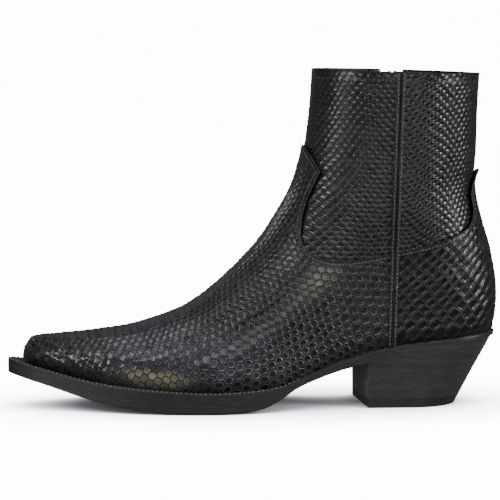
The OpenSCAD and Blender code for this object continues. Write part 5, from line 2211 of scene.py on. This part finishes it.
@dataclass
class Studio:
    """Floor, lights and camera."""

    distance: float = 1.6
    azimuth: float = -4.0
    elevation: float = 5.7
    lens: float = 181.8
    surround: float = 0.12
    backdrop: float = 13.6

    def build(self) -> None:
        """Sets up the stage."""
        self.floor()
        self.lights()
        self.camera()

    def floor(self) -> None:
        """A wide pale floor."""
        size = 60.0
        mesh = bpy.data.meshes.new("floor")
        mesh.from_pydata([(-size, -size, 0), (size, -size, 0), (size, size, 0), (-size, size, 0)], [], [(0, 1, 2, 3)])
        obj = put_in_scene("floor", mesh)
        mesh.materials.append(StageFinish().make())
        obj.visible_glossy = obj.visible_diffuse = False

    def lamp(self, name: str, place: tuple, target: tuple, size: tuple, power: float) -> None:
        """One soft rectangular lamp.

        Args:
            name: the lamp's name.
            place: where it stands.
            target: where it points.
            size: width and height.
            power: watts.
        """
        data = bpy.data.lights.new(name, "AREA")
        data.shape = "RECTANGLE"
        data.size, data.size_y = size
        data.energy = power
        obj = put_in_scene(name, data)
        obj.location = place
        obj.rotation_euler = (Vector(target) - Vector(place)).to_track_quat("-Z", "Y").to_euler()

    def lights(self) -> None:
        """Soft boxes over a bright surround."""
        world = bpy.data.worlds.new("surround")
        bpy.context.scene.world = world
        world.use_nodes = True
        tree = world.node_tree
        dim = tree.nodes["Background"]
        dim.inputs[0].default_value, dim.inputs[1].default_value = (1, 1, 1, 1), self.surround
        bright = tree.nodes.new("ShaderNodeBackground")
        bright.inputs[0].default_value, bright.inputs[1].default_value = (1, 1, 1, 1), self.backdrop
        seen = tree.nodes.new("ShaderNodeLightPath").outputs["Is Camera Ray"]
        either = tree.nodes.new("ShaderNodeMixShader")
        tree.links.new(seen, either.inputs[0])
        tree.links.new(dim.outputs[0], either.inputs[1])
        tree.links.new(bright.outputs[0], either.inputs[2])
        tree.links.new(either.outputs[0], tree.nodes["World Output"].inputs[0])
        self.lamp("key", (-0.75, -1.0, 1.0), (-0.02, 0, 0.08), (0.7, 0.4), 5.5)
        self.lamp("top", (-0.1, 0.1, 1.4), (-0.02, 0, 0.1), (1.2, 0.35), 6)
        self.lamp("back_left", (-0.9, 0.7, 0.75), (-0.05, 0, 0.1), (0.5, 0.4), 2)
        self.lamp("right", (1.2, -0.6, 0.5), (0.1, 0, 0.1), (0.4, 0.6), 14)
        self.lamp("front", (0.25, -1.7, 0.35), (0.05, 0, 0.06), (1.0, 0.5), 5)
        self.lamp("low", (-1.0, -0.8, 0.1), (0.08, 0, 0.02), (0.5, 0.12), 3.5)

    def camera(self) -> None:
        """A long lens from the outer side, a little above and towards the toe."""
        a, e = math.radians(self.azimuth), math.radians(self.elevation)
        look = Vector((-math.sin(a) * math.cos(e), math.cos(a) * math.cos(e), -math.sin(e)))
        aim = Vector((-0.0021, 0, 0.0977))
        data = bpy.data.cameras.new("camera")
        data.lens, data.sensor_width = self.lens, 36.0
        obj = put_in_scene("camera", data)
        obj.location = aim - look * self.distance
        obj.rotation_euler = look.to_track_quat("-Z", "Y").to_euler()
        bpy.context.scene.camera = obj


def main() -> None:
    """Builds the boot and the studio round it."""
    logging.basicConfig(level=logging.INFO, format="%(name)s: %(message)s")
    form = BootForm.from_frame()
    log.info("length %.1f mm, rim %.1f mm", form.length, form.rim_height)
    stitches = stitch_tree()
    Upper(form, stitches, scale_tree()).build()
    Bottom(form, stitches).build()
    Zip(form, tooth_tree()).build()
    dress_carried()
    Studio().build()


if __name__ == "__main__":
    main()
